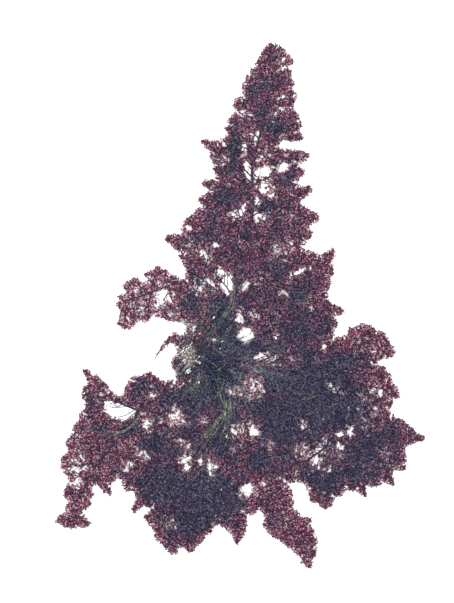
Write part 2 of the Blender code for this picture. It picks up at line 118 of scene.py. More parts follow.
# Patches where the floor shows: centre, half sizes and turn in degrees, in pixels.
CLEARINGS = [
    (121, 411, 15, 8, -8), (109, 404, 6, 4, -30), (227, 284, 6, 10, 0), (221, 272, 4, 3, 0),
    (246, 335, 7.5, 7, 0), (239, 316, 2.2, 5, 0), (255, 315, 2.5, 3, 0), (276, 336, 2.6, 3, 0),
    (259, 356, 7, 2.5, 25), (273, 358, 5, 2, 25), (273, 364, 5, 1.2, 0), (292, 357, 1.5, 3, 0),
    (324, 348, 1.4, 2, 0), (253, 431, 3.2, 5, 20), (242, 427, 1.8, 2.2, 0),
    (232, 430, 1.6, 2, 0), (174, 415, 5, 2, 45), (146, 423, 2, 3, 0), (150, 428, 1.2, 1.2, 0),
    (142, 412, 1.4, 1.6, 0), (162, 422, 1.2, 2, 0), (187, 459, 6, 3, 25), (187, 467, 2.5, 4, 0),
    (200, 461, 2, 4, 0), (209.5, 466, 1.8, 5.6, 15), (216, 467, 1.4, 3, 0),
    (247, 489, 7, 4.5, 15), (315, 459, 4, 4.5, 0), (319, 449, 5, 3.5, 35), (326, 441, 2, 2, 0),
    (340, 435, 2.3, 2.3, 0), (339, 445, 2.5, 2.3, 0), (350, 430, 2.3, 2.3, 0),
    (334, 388, 7, 1.7, -38), (384, 391, 6, 1.2, -35), (303, 424, 2.0, 2.0, 0),
    (299, 272, 9, 2, 25), (263, 172, 9, 5.2, 5), (282, 168, 7, 4.5, 18),
    (247.5, 171, 3.2, 11, 15), (244.8, 149, 1.6, 9, 0), (254.5, 178, 1.3, 5, 0),
    (263, 186, 3, 5, 0), (271, 196, 3, 1.4, 0), (257, 201, 3, 3, 0), (257, 139, 2.4, 6, 0),
    (251, 134, 1.6, 1.8, 0), (283, 66.5, 6, 2.6, 0), (283, 95, 2.3, 2.3, 0),
    (275, 115, 1.5, 3.5, -25), (241, 112, 2.3, 2, 0), (223, 144, 2, 2, 0),
    (242, 212, 2.6, 6, -15), (235, 215, 5, 2.6, -20), (256, 215, 3, 3.5, 0),
    (189, 228, 3.5, 3, -40), (245, 285, 3, 3, 0), (163, 294, 6, 5, 10), (152, 395, 4, 2.2, 0),
    (161, 301, 3, 3, 0), (202, 252, 5, 2, -10), (185, 325, 3, 4, 0), (87, 467, 3, 2, 10),
    (78, 481, 3, 3, 0), (255, 371, 3.5, 2, -10), (258, 378, 2, 2.2, 0), (247, 379, 2.2, 1.6, 0),
    (213, 340, 1.5, 2, 0), (232, 448, 2, 1.5, 0), (203, 421, 2, 1.5, 0),
]

# Patches of a single thin layer, with the share of sprays that is left there.
THIN_PATCHES = [
    (252, 391, 11, 8, 0, 0.3), (234, 391, 6, 5, 0, 0.35), (181, 421, 5, 4, 0, 0.4),
    (222, 160, 6, 4, 0, 0.35), (206, 258, 7, 4, -20, 0.35), (283, 258, 9, 4, 10, 0.4),
    (265, 484, 3, 6, 0, 0.4), (205, 282, 12, 10, 30, 0.42), (302, 451, 8, 8, 0, 0.37),
    (291, 474, 11, 5, 0, 0.4), (372, 345, 20, 14, 0, 0.8), (383, 378, 12, 16, 0, 0.8),
    (376, 388, 10, 3, -38, 0.45), (380, 424, 5, 3, -30, 0.45), (366, 426, 4, 3, 0, 0.45),
    (285, 520, 4, 12, -25, 0.5), (303, 424, 3.5, 3.5, 0, 0.34), (270, 446, 3.5, 4, 0, 0.35),
    (185, 446, 6, 6, 0, 0.4), (70, 456, 10, 20, 10, 0.39), (75, 484, 6, 10, 10, 0.45),
    (77, 500, 9, 14, 10, 0.85), (141, 456, 5, 6, 0, 0.37), (126, 466, 5, 3.5, 0, 0.37),
    (120, 447, 4, 10, -30, 0.78), (172, 439, 12, 3, -18, 0.5), (148, 300, 28, 26, 0, 0.7),
    (284, 247, 12, 9, 15, 0.42), (262, 217, 8, 4, 0, 0.4), (267, 186, 7, 7, 0, 0.37),
    (241, 112, 9, 7, 0, 0.55), (285, 60, 7, 6, 0, 0.5), (262, 73, 5, 4, 0, 0.55),
    (280, 107, 6, 9, 0, 0.6), (309, 300, 6, 9, 20, 0.55), (280, 291, 7, 5, 30, 0.5),
    (264, 276, 8, 4, 20, 0.55), (243, 242, 8, 4, 0, 0.6), (216, 243, 9, 4, 0, 0.5),
    (188, 245, 10, 8, 20, 0.6), (290, 215, 10, 6, 0, 0.6), (352, 337, 10, 5, 25, 0.55),
    (374, 350, 10, 5, -10, 0.6), (367, 397, 8, 6, 0, 0.55), (370, 415, 12, 6, 0, 0.6),
    (386, 456, 7, 7, 0, 0.6), (216, 467, 16, 8, 0, 0.88), (147, 423, 4, 6, 0, 0.37),
    (250, 430, 8, 9, 0, 0.37), (175, 417, 8, 7, 45, 0.37), (266, 155, 9, 6, 30, 0.45),
    (221, 158, 5, 7, 0, 0.45), (205, 436, 8, 6, 0, 0.6), (240, 432, 14, 8, 0, 0.65),
    (248, 494, 7, 7, 0, 0.6), (330, 460, 14, 12, 0, 0.65), (270, 360, 16, 7, 15, 0.72),
    (245, 318, 14, 9, 0, 0.78), (170, 520, 10, 6, -20, 0.65), (168, 424, 12, 10, 0, 0.85),
    (97, 388, 14, 8, -40, 0.7), (149, 384, 12, 7, 0, 0.75), (64, 517, 8, 8, 0, 0.65),
    (178, 326, 8, 6, 0, 0.45), (190, 326, 5, 6, 0, 0.3), (279, 319, 12, 7, 0, 0.8),
    (160, 277, 10, 7, 0, 0.39), (134, 305, 9, 10, 0, 0.6), (312, 499, 9, 9, 0, 0.55),
]

# Patches where many layers lie on each other, with how much darker they are than the rest.
THICK_PATCHES = [
    (232, 150, 9, 24, 5, 0.45), (275, 127, 9, 9, 0, 0.4), (284, 74, 5, 4, 0, 0.25),
    (252, 92, 8, 10, 0, 0.3), (262, 118, 9, 12, 0, 0.25), (222, 196, 18, 9, -10, 0.4),
    (290, 178, 9, 6, -15, 0.4), (274, 208, 9, 7, 0, 0.3), (244, 234, 10, 7, 0, 0.15),
    (198, 238, 18, 5, 5, 0.3), (275, 270, 14, 6, -10, 0.3), (300, 292, 12, 9, 0, 0.25),
    (225, 310, 26, 20, 0, 0.3), (215, 355, 34, 24, 0, 0.45), (225, 382, 12, 12, 0, 0.45),
    (305, 385, 42, 26, 10, 0.45), (282, 425, 34, 26, 0, 0.5), (330, 405, 38, 22, 0, 0.4),
    (350, 460, 30, 22, 0, 0.14), (318, 480, 16, 12, 0, 0.3), (262, 462, 20, 12, 0, 0.45),
    (215, 500, 26, 20, 0, 0.28), (165, 488, 30, 16, 0, 0.28), (195, 520, 26, 18, 0, 0.3),
    (150, 388, 18, 7, 10, 0.35), (185, 398, 26, 10, 0, 0.55), (140, 383, 9, 6, 0, 0.4),
    (150, 440, 12, 5, 0, 0.35), (100, 427, 14, 5, 0, 0.4), (128, 302, 10, 4, 10, 0.45),
    (345, 362, 28, 10, 15, 0.3), (238, 498, 4, 9, 0, 0.45), (382, 437, 18, 6, 10, 0.3),
    (300, 325, 24, 14, 0, 0.2), (225, 408, 9, 18, 0, 0.5), (190, 302, 14, 13, 0, 0.75),
    (188, 276, 9, 8, 0, 0.4), (230, 331, 10, 9, 0, 0.45), (333, 323, 9, 9, 0, 0.4),
    (268, 348, 20, 7, 0, 0.4), (306, 351, 12, 8, 0, 0.3), (240, 345, 22, 16, 0, 0.3),
    (134, 431, 11, 8, 0, 0.5), (222, 446, 12, 9, 0, 0.4), (212, 433, 14, 9, -40, 0.45),
    (259, 522, 11, 13, -25, 0.75), (262, 206, 10, 8, 0, 0.35), (234, 278, 9, 12, 0, 0.35),
    (212, 478, 12, 8, 0, 0.35), (190, 428, 9, 9, 0, 0.35), (234, 424, 8, 8, 0, 0.35),
]

# Patches where the layers are so many that they read as navy.
DARKEST_PATCHES = [
    (220, 386, 9, 14, 0), (222, 372, 10, 8, 0), (205, 327, 5, 5, 0), (213, 362, 9, 8, 0),
    (232, 371, 8, 5, 0), (208, 396, 8, 5, 0), (227, 405, 7, 13, 0), (222, 312, 12, 12, 0),
    (231, 326, 7, 8, 0),
]
DARKEST_LAYERS = 1.2

# Patches of another colour: -1 is bleached to grey-green, 1 is crimson.
TINTED_PATCHES = [
    (226, 362, 30, 30, 0, -0.08), (196, 331, 20, 14, 0, -0.55), (191, 384, 13, 15, 0, -0.75),
    (187, 356, 15, 24, 0, -1.0), (222, 312, 10, 10, 0, -0.5), (226, 412, 5, 16, 5, -0.8),
    (214, 432, 6, 13, -40, -0.5), (265, 366, 22, 5, 5, -0.4), (128, 420, 20, 8, 0, -0.3),
    (219, 384, 12, 14, 0, 0.0), (166, 345, 13, 15, 0, -0.3), (183, 337, 9, 7, 0, -0.8),
    (216, 411, 3, 3, 0, 1.0), (207, 410, 2, 2, 0, 1.0), (277, 374, 2.5, 2, 0, 1.0),
    (275, 395, 9, 3, 15, 0.6), (253, 446, 5, 2, 15, 0.8), (236, 467, 5, 2, 0, 0.7),
    (288, 318, 9, 5, 0, 0.6), (254, 424, 4, 9, -20, 0.8), (239, 314, 5, 8, 0, 0.7),
    (256, 314, 6, 7, 0, 0.6), (300, 450, 12, 9, 0, 0.6), (281, 468, 10, 7, 0, 0.5),
    (202, 424, 4, 8, 0, 0.6), (186, 444, 6, 6, 0, 0.6), (384, 374, 12, 18, 0, 0.6),
    (368, 342, 24, 14, 10, 0.5), (318, 270, 9, 22, 15, 0.4), (400, 440, 14, 8, 0, 0.35),
    (385, 408, 10, 12, 0, 0.4), (303, 424, 5, 5, 0, 0.7), (290, 540, 12, 14, 0, 0.35),
    (146, 424, 9, 6, 0, 0.5), (270, 446, 5, 5, 0, 0.6), (135, 461, 15, 9, 20, 0.6),
]

# Where the effect of a patch ends, and over how much it fades, as shares of its half sizes.
RIMS = {
    "thin": (1.3, 1.0), "thick": (1.4, 1.0), "darkest": (1.3, 1.0), "sparse": (1.5, 0.5),
    "tinted": (1.35, 0.5),
}
THIN_EFFECT = 0.8
THICK_INSET = 1.2 * MM
SPECKLED_SHARE = 0.38
SPECKLED_RIM = 1.15
SPECKLED_INSET = 0.2 * MM
LAYER_COVER = 0.62

# Noise: how strong it is, how large its patches are, and its place among the layers of noise.
LAYER_GRAINS = [(0.34, 4.5 * MM, 3.1), (0.20, 1.6 * MM, 7.7)]
MARGIN_GRAIN = (0.25 * MM, 1.3 * MM, 0.5)
CLEARING_GRAIN = (0.6 * MM, 1.5 * MM, 5.5)
CRIMSON_GRAIN = (1.0, 5 * MM, 8.3)
BLUSH_GRAIN = (0.25, 3.2 * MM, 6.1)

# How crimson the rims of clearings and the speckled patches are.
CRIMSON_WIDTH = 1.1 * MM
CRIMSON_RIM = 0.55
CRIMSON_SPECKLES = 0.8

# Each frond: how deep its layers lie, where 1 reads slate and 0 reads rose, and how high its
# stems lie in its felt, where at 1 they show from above.
FRONDS = {
    "frond_crown": (0.7, 1.0), "frond_north_east": (0.8, 0.75), "frond_east": (0.74, 0.8),
    "frond_east_low": (0.8, 0.8), "frond_south": (0.85, 0.6), "frond_south_east": (0.9, 0.85),
    "frond_south_point": (0.62, 0.7), "frond_south_mid": (0.84, 0.6),
    "frond_south_inner": (0.86, 0.7), "frond_west_low": (0.74, 0.9),
    "frond_south_west": (0.54, 1.0), "frond_west": (0.3, 1.0), "frond_sprig": (0.35, 0.9),
}

# Radii of the stems at their root and at their tip.
MAIN_RADII = (0.90 * MM, 0.30 * MM)
AXIS_RADII = (0.66 * MM, 0.26 * MM)
FORK_RADII = (0.55 * MM, 0.24 * MM)
LATERAL_RADII = (0.30 * MM, 0.15 * MM)
TWIG_RADII = (0.18 * MM, 0.11 * MM)

# The axes: their frond, their radii, their course from the root, and the tips of their side
# branches. A tip's third value is its own rise instead of LATERAL_RISE.
AXES = [
    ("frond_crown", MAIN_RADII, [
        (198, 350), (213, 329), (223, 316), (232, 300), (238, 279), (244, 262), (249, 240),
        (252, 215), (253, 190), (252, 171), (256, 150), (261, 130), (265, 105), (268, 80),
        (271, 46),
    ], [
        (188, 272), (179, 255), (166, 239), (184, 222), (196, 211), (199, 199), (203, 184),
        (213, 169), (210, 155), (202, 141), (225, 128), (229, 118), (234, 104), (243, 88),
        (246, 79), (251, 70), (257, 61), (263, 51), (316, 256), (311, 236), (318, 217),
        (306, 209), (311, 190), (303, 172), (309, 156, 0.26), (302, 138), (301, 125), (297, 114),
        (295, 99), (294, 92), (293, 83), (291, 73), (293, 62), (283, 49),
    ]),
    ("frond_north_east", AXIS_RADII, [
        (198, 352), (214, 348), (230, 347), (250, 347), (262, 338), (274, 325), (290, 309),
        (306, 293), (318, 277), (327, 263), (333, 250),
    ], [
        (243, 298), (256, 285), (268, 277), (283, 277), (300, 275), (317, 264), (334, 269),
        (330, 284), (325, 296), (343, 311), (337, 326), (332, 336), (310, 336), (290, 342),
    ]),
    ("frond_east", AXIS_RADII, [
        (198, 357), (214, 357), (230, 359), (246, 363), (262, 365), (276, 361), (290, 353),
        (310, 351), (335, 352), (355, 347), (372, 339), (384, 333),
    ], [
        (338, 338), (349, 327), (360, 324), (369, 324), (389, 342), (394, 354), (376, 361),
        (355, 362), (330, 364),
    ]),
    ("frond_east_low", AXIS_RADII, [
        (262, 366), (274, 368), (290, 369), (310, 376), (335, 383), (360, 386), (380, 388),
        (398, 396),
    ], [
        (374, 367), (384, 368), (391, 379), (397, 388), (391, 406), (372, 405), (356, 407),
        (340, 406), (322, 400), (304, 392),
    ]),
    ("frond_south", AXIS_RADII, [
        (196, 362), (207, 371), (217, 383), (225, 397), (225, 411), (219, 425), (208, 440),
        (197, 455), (190, 478), (184, 505), (179, 530), (174, 552),
    ], [
        (144, 516), (154, 535), (163, 546), (192, 551), (202, 541), (212, 531), (165, 500),
        (207, 505),
    ]),
    ("frond_south_east", AXIS_RADII, [
        (222, 396), (236, 400), (250, 404), (270, 406), (300, 413), (320, 425), (335, 438),
        (352, 446), (375, 446), (400, 442), (424, 438),
    ], [
        (368, 411), (386, 412), (395, 418), (404, 421), (413, 430), (405, 452), (280, 425),
        (262, 424), (345, 415),
    ]),
    ("frond_south_east", FORK_RADII, [
        (335, 438), (334, 455), (331, 475), (328, 492), (325, 509),
    ], [(309, 478), (310, 500), (343, 495), (333, 499)]),
    ("frond_south_east", FORK_RADII, [
        (345, 444), (356, 465), (362, 480), (366, 496),
    ], [(350, 487), (380, 485)]),
    ("frond_south_east", FORK_RADII, [
        (365, 447), (382, 462), (390, 475), (394, 485),
    ], [(406, 469)]),
    ("frond_south_east", FORK_RADII, [
        (330, 434), (326, 446), (313, 456), (300, 466), (284, 477),
    ], [(304, 480), (296, 452)]),
    ("frond_south_point", AXIS_RADII, [
        (224, 405), (235, 409), (243, 418), (247, 430), (250, 450), (254, 475), (263, 492),
        (278, 510), (292, 530), (302, 550), (309, 567),
    ], [
        (250, 513), (264, 513), (264, 526), (273, 537), (285, 544), (297, 553), (303, 560),
        (283, 482), (292, 491), (293, 503), (298, 511), (311, 519), (314, 530), (317, 539),
        (316, 553), (275, 455), (265, 440),
    ]),
    ("frond_south_mid", AXIS_RADII, [
        (222, 418), (228, 430), (228, 442), (226, 465), (228, 492), (233, 518), (237, 542),
    ], [(222, 527), (244, 534), (247, 518), (240, 480), (215, 510)]),
    ("frond_south_inner", AXIS_RADII, [
        (208, 440), (192, 437), (178, 436), (163, 446), (152, 465), (143, 488), (134, 511),
    ], [(127, 490), (123, 482), (170, 470), (150, 505), (165, 425)]),
    ("frond_west_low", AXIS_RADII, [
        (185, 362), (180, 374), (176, 386), (166, 397), (150, 404), (138, 409), (125, 405),
        (110, 397), (98, 384), (85, 370),
    ], [(83, 390), (87, 408), (82, 398), (105, 383), (113, 391)]),
    ("frond_west_low", FORK_RADII, [
        (166, 397), (160, 388), (152, 382), (149, 373),
    ], [(134, 378), (124, 392), (172, 381), (160, 381)]),
    ("frond_south_west", AXIS_RADII, [
        (138, 409), (134, 422), (123, 433), (110, 448), (98, 462), (88, 480), (80, 500),
        (72, 526),
    ], [
        (66, 444), (61, 462), (66, 474), (65, 490), (66, 504), (57, 519), (88, 525), (91, 503),
        (93, 495), (110, 493),
    ]),
    ("frond_south_west", FORK_RADII, [
        (123, 433), (108, 431), (92, 429), (74, 428),
    ], [(80, 415), (66, 443)]),
    ("frond_west", AXIS_RADII, [
        (191, 348), (196, 335), (199, 320), (198, 305), (191, 292), (178, 284), (160, 289),
        (141, 296), (118, 303),
    ], [
        (172, 276), (157, 267), (145, 274), (135, 278), (124, 285), (119, 296), (118, 308),
        (119, 322), (126, 328), (134, 325), (149, 318),
    ]),
    ("frond_west", FORK_RADII, [(196, 325), (185, 318), (172, 318), (157, 316)], []),
    ("frond_sprig", LATERAL_RADII, [
        (187, 350), (180, 339), (175, 335), (168, 341), (160, 350), (155, 359),
    ], []),
]

# Side branches and twigs: how they leave what carries them, and where twigs end. A twig runs
# into a clearing by one of the two crossings.
LATERAL_RISE = 0.45
LATERAL_BOW = 0.16
TWIG_PITCH = 2.4 * MM
TWIG_ANGLE = math.radians(48)
TWIG_CURL = 0.05
TWIG_LONGEST = 9.0 * MM
TWIG_LEAST = 1.2 * MM
TWIG_MARGIN = 0.7 * MM
TWIG_CROSSINGS = (0.4 * MM, 4.0 * MM)
SAMPLE_STEP = 0.5 * MM
DRAWN_STEP = 1.8 * MM
CURVE_SAMPLES = 12
LATERAL_SAMPLES = 25

# Heights of the felt above the floor.
FELT_LEAST = 0.55 * MM
FELT_DEPTH = 2.1 * MM
FELT_SLOPE = 6.0 * MM
LAYER_SLOPE = 2.6 * MM
DOME_PIXEL = (222, 368)
DOME_HEIGHT = 1.2 * MM
DOME_RADIUS = 36 * MM
WAVE_HEIGHT = 0.5 * MM
WAVE_LENGTH = 19 * MM
FLOOR_GAP = 0.05 * MM

# Heights of stems, as shares of the felt's: those of axes, side branches and twigs, how far
# they lie lower under many layers and over the dome, and how low an axis starts.
ORDER_HEIGHTS = (1.0, 0.95, 0.9)
STEM_HEIGHT = 1.28
LAYER_SINK = 0.48
DOME_SINK = 0.55
DOME_SINK_REACH = 1.1
AXIS_HEIGHT = 1.1
ROOT_HEIGHT = 0.2
ROOT_SHARE = 0.22
STEM_CLEARANCE = 1.4

# Strands that lie bare on the felt: finish, how many, how far they spread and how thick they
# are, in pixels, and their course.
STRANDS = [
    ("olive", 4, 7.0, 0.28, [(234, 286), (233, 299), (229, 309), (222, 317), (216, 324)]),
    ("grey", 5, 9.0, 0.26, [(234, 290), (232, 301), (227, 311), (220, 320), (213, 327)]),
    ("olive", 3, 3.0, 0.30, [(237, 303), (230, 311), (221, 321)]),
    ("grey", 2, 2.0, 0.30, [(240, 262), (237, 276), (234, 290)]),
    ("grey", 3, 4.0, 0.26, [(198, 308), (207, 311), (217, 315)]),
    ("grey", 3, 4.0, 0.26, [(205, 303), (213, 306), (221, 310)]),
    ("olive", 6, 6.0, 0.25, [(248, 368), (258, 365), (268, 366), (279, 368), (289, 370)]),
    ("grey", 7, 14.0, 0.23, [(226, 361), (240, 365), (256, 370), (272, 376), (290, 382)]),
    ("grey", 6, 14.0, 0.21, [(256, 367), (274, 375), (292, 383), (312, 392)]),
    ("grey", 5, 13.0, 0.22, [(218, 336), (232, 347), (248, 357), (264, 365)]),
    ("grey", 4, 9.0, 0.22, [(240, 350), (252, 341), (264, 333), (275, 327)]),
    ("olive", 2, 2.0, 0.28, [(261, 356), (265, 361), (272, 366)]),
    ("grey", 2, 2.4, 0.26, [(277, 344), (272, 352), (266, 360), (259, 366)]),
    ("grey", 2, 2.4, 0.26, [(288, 342), (282, 350), (278, 357), (272, 364)]),
    ("olive", 2, 2.4, 0.26, [(252, 350), (247, 356), (241, 362), (235, 368)]),
    ("grey", 4, 5.0, 0.26, [(262, 369), (268, 376), (275, 381), (281, 384)]),
    ("grey", 4, 5.0, 0.26, [(230, 369), (238, 373), (246, 376), (253, 374)]),
    ("olive", 2, 3.0, 0.26, [(238, 360), (246, 358), (254, 360), (262, 366)]),
    ("olive", 11, 9.0, 0.27, [(221, 391), (223, 400), (226, 409), (226, 418), (224, 427)]),
    ("olive", 9, 8.0, 0.27, [(227, 400), (228, 408), (226, 416), (221, 425)]),
    ("olive", 6, 7.0, 0.27, [(229, 401), (230, 410), (228, 420)]),
    ("olive", 8, 10.0, 0.25, [(226, 408), (221, 419), (213, 430), (204, 441)]),
    ("olive", 6, 9.0, 0.23, [(224, 415), (216, 425), (207, 434), (198, 444), (190, 455)]),
    ("olive", 5, 7.0, 0.23, [(226, 412), (219, 418), (211, 424), (204, 427)]),
    ("olive", 4, 6.0, 0.23, [(226, 414), (225, 425), (222, 436), (219, 448)]),
    ("grey", 3, 4.0, 0.30, [(208, 441), (200, 451), (194, 462), (192, 475)]),
    ("grey", 3, 4.0, 0.30, [(210, 442), (206, 454), (205, 467), (203, 481)]),
    ("grey", 3, 4.0, 0.28, [(214, 445), (214, 457), (213, 470), (214, 480)]),
    ("olive", 6, 5.0, 0.34, [(143, 408), (138, 419), (129, 429), (117, 434), (105, 431)]),
    ("olive", 4, 6.0, 0.24, [(226, 422), (227, 433), (226, 443), (221, 452)]),
    ("grey", 6, 12.0, 0.24, [(228, 398), (233, 408), (237, 417), (240, 425)]),
    ("grey", 2, 2.0, 0.28, [(220, 418), (213, 420), (206, 418), (199, 413), (192, 413)]),
    ("grey", 2, 1.6, 0.28, [(196, 413), (188, 408), (179, 408), (171, 410), (166, 414)]),
    ("grey", 4, 6.0, 0.26, [(229, 400), (236, 404), (243, 408), (251, 413)]),
    ("grey", 2, 3.0, 0.26, [(229, 434), (234, 442), (239, 449)]),
    ("grey", 3, 5.0, 0.26, [(203, 398), (199, 406), (203, 414)]),
    ("pale", 7, 5.0, 0.30, [(199, 358), (191, 363), (184, 370), (178, 377)]),
    ("pale", 3, 5.0, 0.22, [(194, 355), (187, 360), (180, 367), (177, 373)]),
    ("grey", 5, 9.0, 0.22, [(190, 340), (186, 348), (182, 356), (178, 363)]),
    ("olive", 6, 7.0, 0.28, [(197, 371), (198, 380), (194, 389), (187, 396)]),
    ("grey", 4, 7.0, 0.28, [(192, 337), (184, 342), (177, 349)]),
    ("olive", 4, 4.0, 0.26, [(166, 317), (175, 319), (184, 323), (192, 330)]),
    ("grey", 4, 2.6, 0.30, [
        (141, 411), (137, 422), (127, 430), (115, 433), (103, 429), (92, 427),
    ]),
    ("grey", 2, 4.0, 0.26, [(135, 425), (123, 433), (108, 436), (92, 430), (78, 427)]),
    ("grey", 4, 8.0, 0.26, [(232, 322), (226, 334), (220, 344), (213, 351)]),
    ("grey", 4, 8.0, 0.26, [(212, 326), (207, 336), (203, 345)]),
]
OWN_FINISH_SHARE = 0.78
# Loose fibres lead away from the holdfast: how many, and the middle and half sizes of the
# patch that they lie in, in pixels.
LOOSE_FIBRES = [(120, 204, 354, 34, 48), (110, 266, 382, 60, 36)]
LOOSE_SOURCE = (194, 350)
FIBRE_INSET = 0.5 * MM

# Shell sand caught in the rhizoids: place and size in pixels.
SHELL_SAND = [
    (179, 354, 0.9), (181, 352, 1.1), (180, 349.5, 0.7), (183, 350.5, 1.3), (185, 352, 0.7),
    (184, 347.5, 1.0), (186.5, 349, 1.2), (187, 346, 0.8), (189, 347.5, 1.2), (190.5, 345, 0.9),
    (191, 349, 0.7), (182.5, 354.5, 0.7), (188, 351.5, 0.9), (185.5, 355, 0.9),
    (177.5, 351, 0.6), (184, 360, 1.6), (185, 362, 1.0), (182.5, 361, 0.8), (187.5, 370.5, 1.6),
    (189.5, 369, 1.4), (188.3, 372.5, 1.2), (190.5, 371, 0.9), (186, 372, 0.8),
    (198, 361.5, 1.1), (200, 362.7, 1.0), (196, 360.5, 0.8), (200, 333.5, 0.9),
    (199.3, 356.3, 1.0), (214, 317.3, 1.3), (222, 341.2, 1.0), (220, 348.3, 0.7),
    (190, 380.5, 1.1), (183.5, 383.5, 1.0), (199, 382, 1.0), (226.5, 436, 1.3),
    (228, 437.5, 0.9), (240.8, 444.8, 0.9), (192, 343, 0.8), (180, 358, 0.7), (177, 356, 0.7),
    (194, 366, 0.8), (181, 364, 0.7), (191, 357, 0.7),
]
SAND_SCALE = 1.5
SAND_KINDS = 3

# Sprays: a stem with ramuli left and right by turns, and some more that fan out from its end.
# They are drawn a little coarser than life, so that each one shows.
SPRAY_STEM_RADIUS = 0.18 * MM
RAMULUS_RADIUS = 0.26 * MM
RAMULUS_TILT = 16
FAN_ANGLE = math.radians(110)
SPRAY_FORMS = {
    # name: length, ramuli along the stem, ramuli in the fan, length of the longest
    "plume": (3.2 * MM, 6, 1, 1.30 * MM),
    "broad_plume": (2.8 * MM, 5, 3, 1.20 * MM),
    "tuft": (2.2 * MM, 3, 5, 0.95 * MM),
    "short_tuft": (1.9 * MM, 2, 5, 0.85 * MM),
    "pressed_plume": (3.2 * MM, 5, 0, 1.40 * MM),
    "pressed_tuft": (2.5 * MM, 2, 3, 1.20 * MM),
}
FEW, MANY, MARGINAL = range(3)
FORM_GROUPS = {
    FEW: ("plume", "broad_plume", "tuft"),
    MANY: ("pressed_plume", "pressed_tuft"),
    MARGINAL: ("tuft", "short_tuft"),
}
MARGIN_DEPTH = 1.3 * MM
DEEP_LAYERS = 0.55
PIECE_LIMIT = 5200

# Where sprays end: their pitch, how far they stray from it as a share, and how far they reach
# over a clearing's rim, where some strays reach further.
SPRAY_PITCH = 0.88 * MM
JITTER = 0.45
OVERHANG = 0.50 * MM
STRAY_OVERHANG = 1.3 * MM
STRAY_SHARE = 0.36
# Rows of sprays along the margin: how far apart, and from where to where across it.
MARGIN_ROWS = [(0.47 * MM, -0.25 * MM, 0.95 * MM), (0.75 * MM, -1.4 * MM, -0.4 * MM)]
ROW_DEPTH = 0.3 * MM

# Which way sprays point: along the nearest stem, away from it or out over the margin; and how
# far they turn from that, in degrees.
ALONG_STEM = 0.8
AWAY_FROM_STEM = 0.9
ALONG_WITH_RIM = 0.6
RIM_TURN = 22
OUTER_TURN = 28
INNER_TURN = 48
INNER_DEPTH = 3 * MM
ANY_TURN = 180
TILT = 10

# Sizes of sprays: at an edge, in speckled patches, on the sprig and where their roots are bare.
EDGE_SIZE = 0.72
SIZE_SLOPE = 6 * MM
SPECKLED_SIZE = 0.64
SPRIG_SIZE = 0.8
BARE_SIZE = 0.8
# Inner sprays are pushed on by their own half length, and those with bare roots off them.
INNER_SLOPE = 1.5 * MM
INNER_SHIFT = 1.6 * MM
ROOT_REACH = 2.6 * MM
BARE_SHIFT = 1.1 * MM
LOWEST = 0.2 * MM
UPWARD = 0.6
SPECKLED_LAYERS = 0.35
SPECKLED_KEPT = 0.94
RIM_KEPT = 1.6 * MM

# A spray's shape and shade: how flat it is pressed, how much of its ramuli's tone is shared,
# and how dark its stem is beside them.
FLATNESS = 0.7
SHARED_TONE = 0.25
STEM_TONE = 0.35

# The holdfast: a low dome of matted rhizoids. The rhizoids' radii are in millimetres.
HOLDFAST_HALF = (4.4 * MM, 6.3 * MM, 3.5 * MM)
LUMPS = 0.5 * MM
FUZZ = 0.16 * MM
RHIZOIDS = 90
RHIZOID_STEPS = 14
RHIZOID_FIELD = (2.6 * MM, 4.2 * MM)
RHIZOID_RADII = (0.17, 0.08)


def at(pixels):
    """Pixels of the plan as points of the specimen, in metres."""
    return (np.asarray(pixels, float) - HOLDFAST_PIXEL) * (PIXEL, -PIXEL)


def turned(vectors, angles):
    """Flat vectors, each turned by its own angle."""
    cos, sin = np.cos(angles), np.sin(angles)
    x, y = vectors[..., 0], vectors[..., 1]
    return np.stack([x * cos - y * sin, x * sin + y * cos], axis=-1)


def unit(vectors):
    return vectors / np.maximum(np.linalg.norm(vectors, axis=-1, keepdims=True), 1e-9)


def split_as(values, lines):
    """The values of all the lines' points, split between the lines."""
    return np.split(values, np.cumsum([len(line) for line in lines])[:-1])


def resampled(line, step):
    """The same line with its points an equal distance apart."""
    legs = np.linalg.norm(np.diff(line, axis=0), axis=1)
    along = np.concatenate([[0], np.cumsum(legs)])
    places = np.linspace(0, along[-1], max(2, math.ceil(along[-1] / step) + 1))
    return np.stack([np.interp(places, along, column) for column in line.T], axis=1)


def smooth_line(points):
    """A Catmull-Rom curve through the points."""
    ends = np.vstack([points[0] * 2 - points[1], points, points[-1] * 2 - points[-2]])
    t = np.linspace(0, 1, CURVE_SAMPLES, endpoint=False)[:, None]
    line = []
    for a, b, c, d in zip(ends, ends[1:], ends[2:], ends[3:]):
        line.append(
            b + (c - a) * t / 2 + (a * 2 - b * 5 + c * 4 - d) * t**2 / 2
            + (b * 3 - a - c * 3 + d) * t**3 / 2
        )
    return resampled(np.vstack([*line, points[-1:]]), SAMPLE_STEP)


class Branch:
    """An axis, a side branch or a twig (of order 0, 1 or 2): its centreline, and its radius
    from root to tip."""

    def __init__(self, frond, line, radii, order):
        self.frond, self.line, self.radii, self.order = frond, line, radii, order
        self.length = (len(line) - 1) * np.linalg.norm(line[1] - line[0])
        self.headings = unit(np.gradient(line, axis=0))


class Growth:
    """Branches searched by place."""

    def __init__(self, branches):
        self.branches = branches
        self.owners = np.repeat(np.arange(len(branches)), [len(b.line) for b in branches])
        self.points = np.vstack([branch.line for branch in branches])
        self.headings = np.vstack([branch.headings for branch in branches])
        self.tree = KDTree(len(self.points))
        for index, point in enumerate(self.points):
            self.tree.insert((*point, 0.0), index)
        self.tree.balance()

    def nearest(self, points):
        """For each point the sample of a centreline that is nearest to it."""
        return np.array([self.tree.find((*point, 0.0))[1] for point in points])


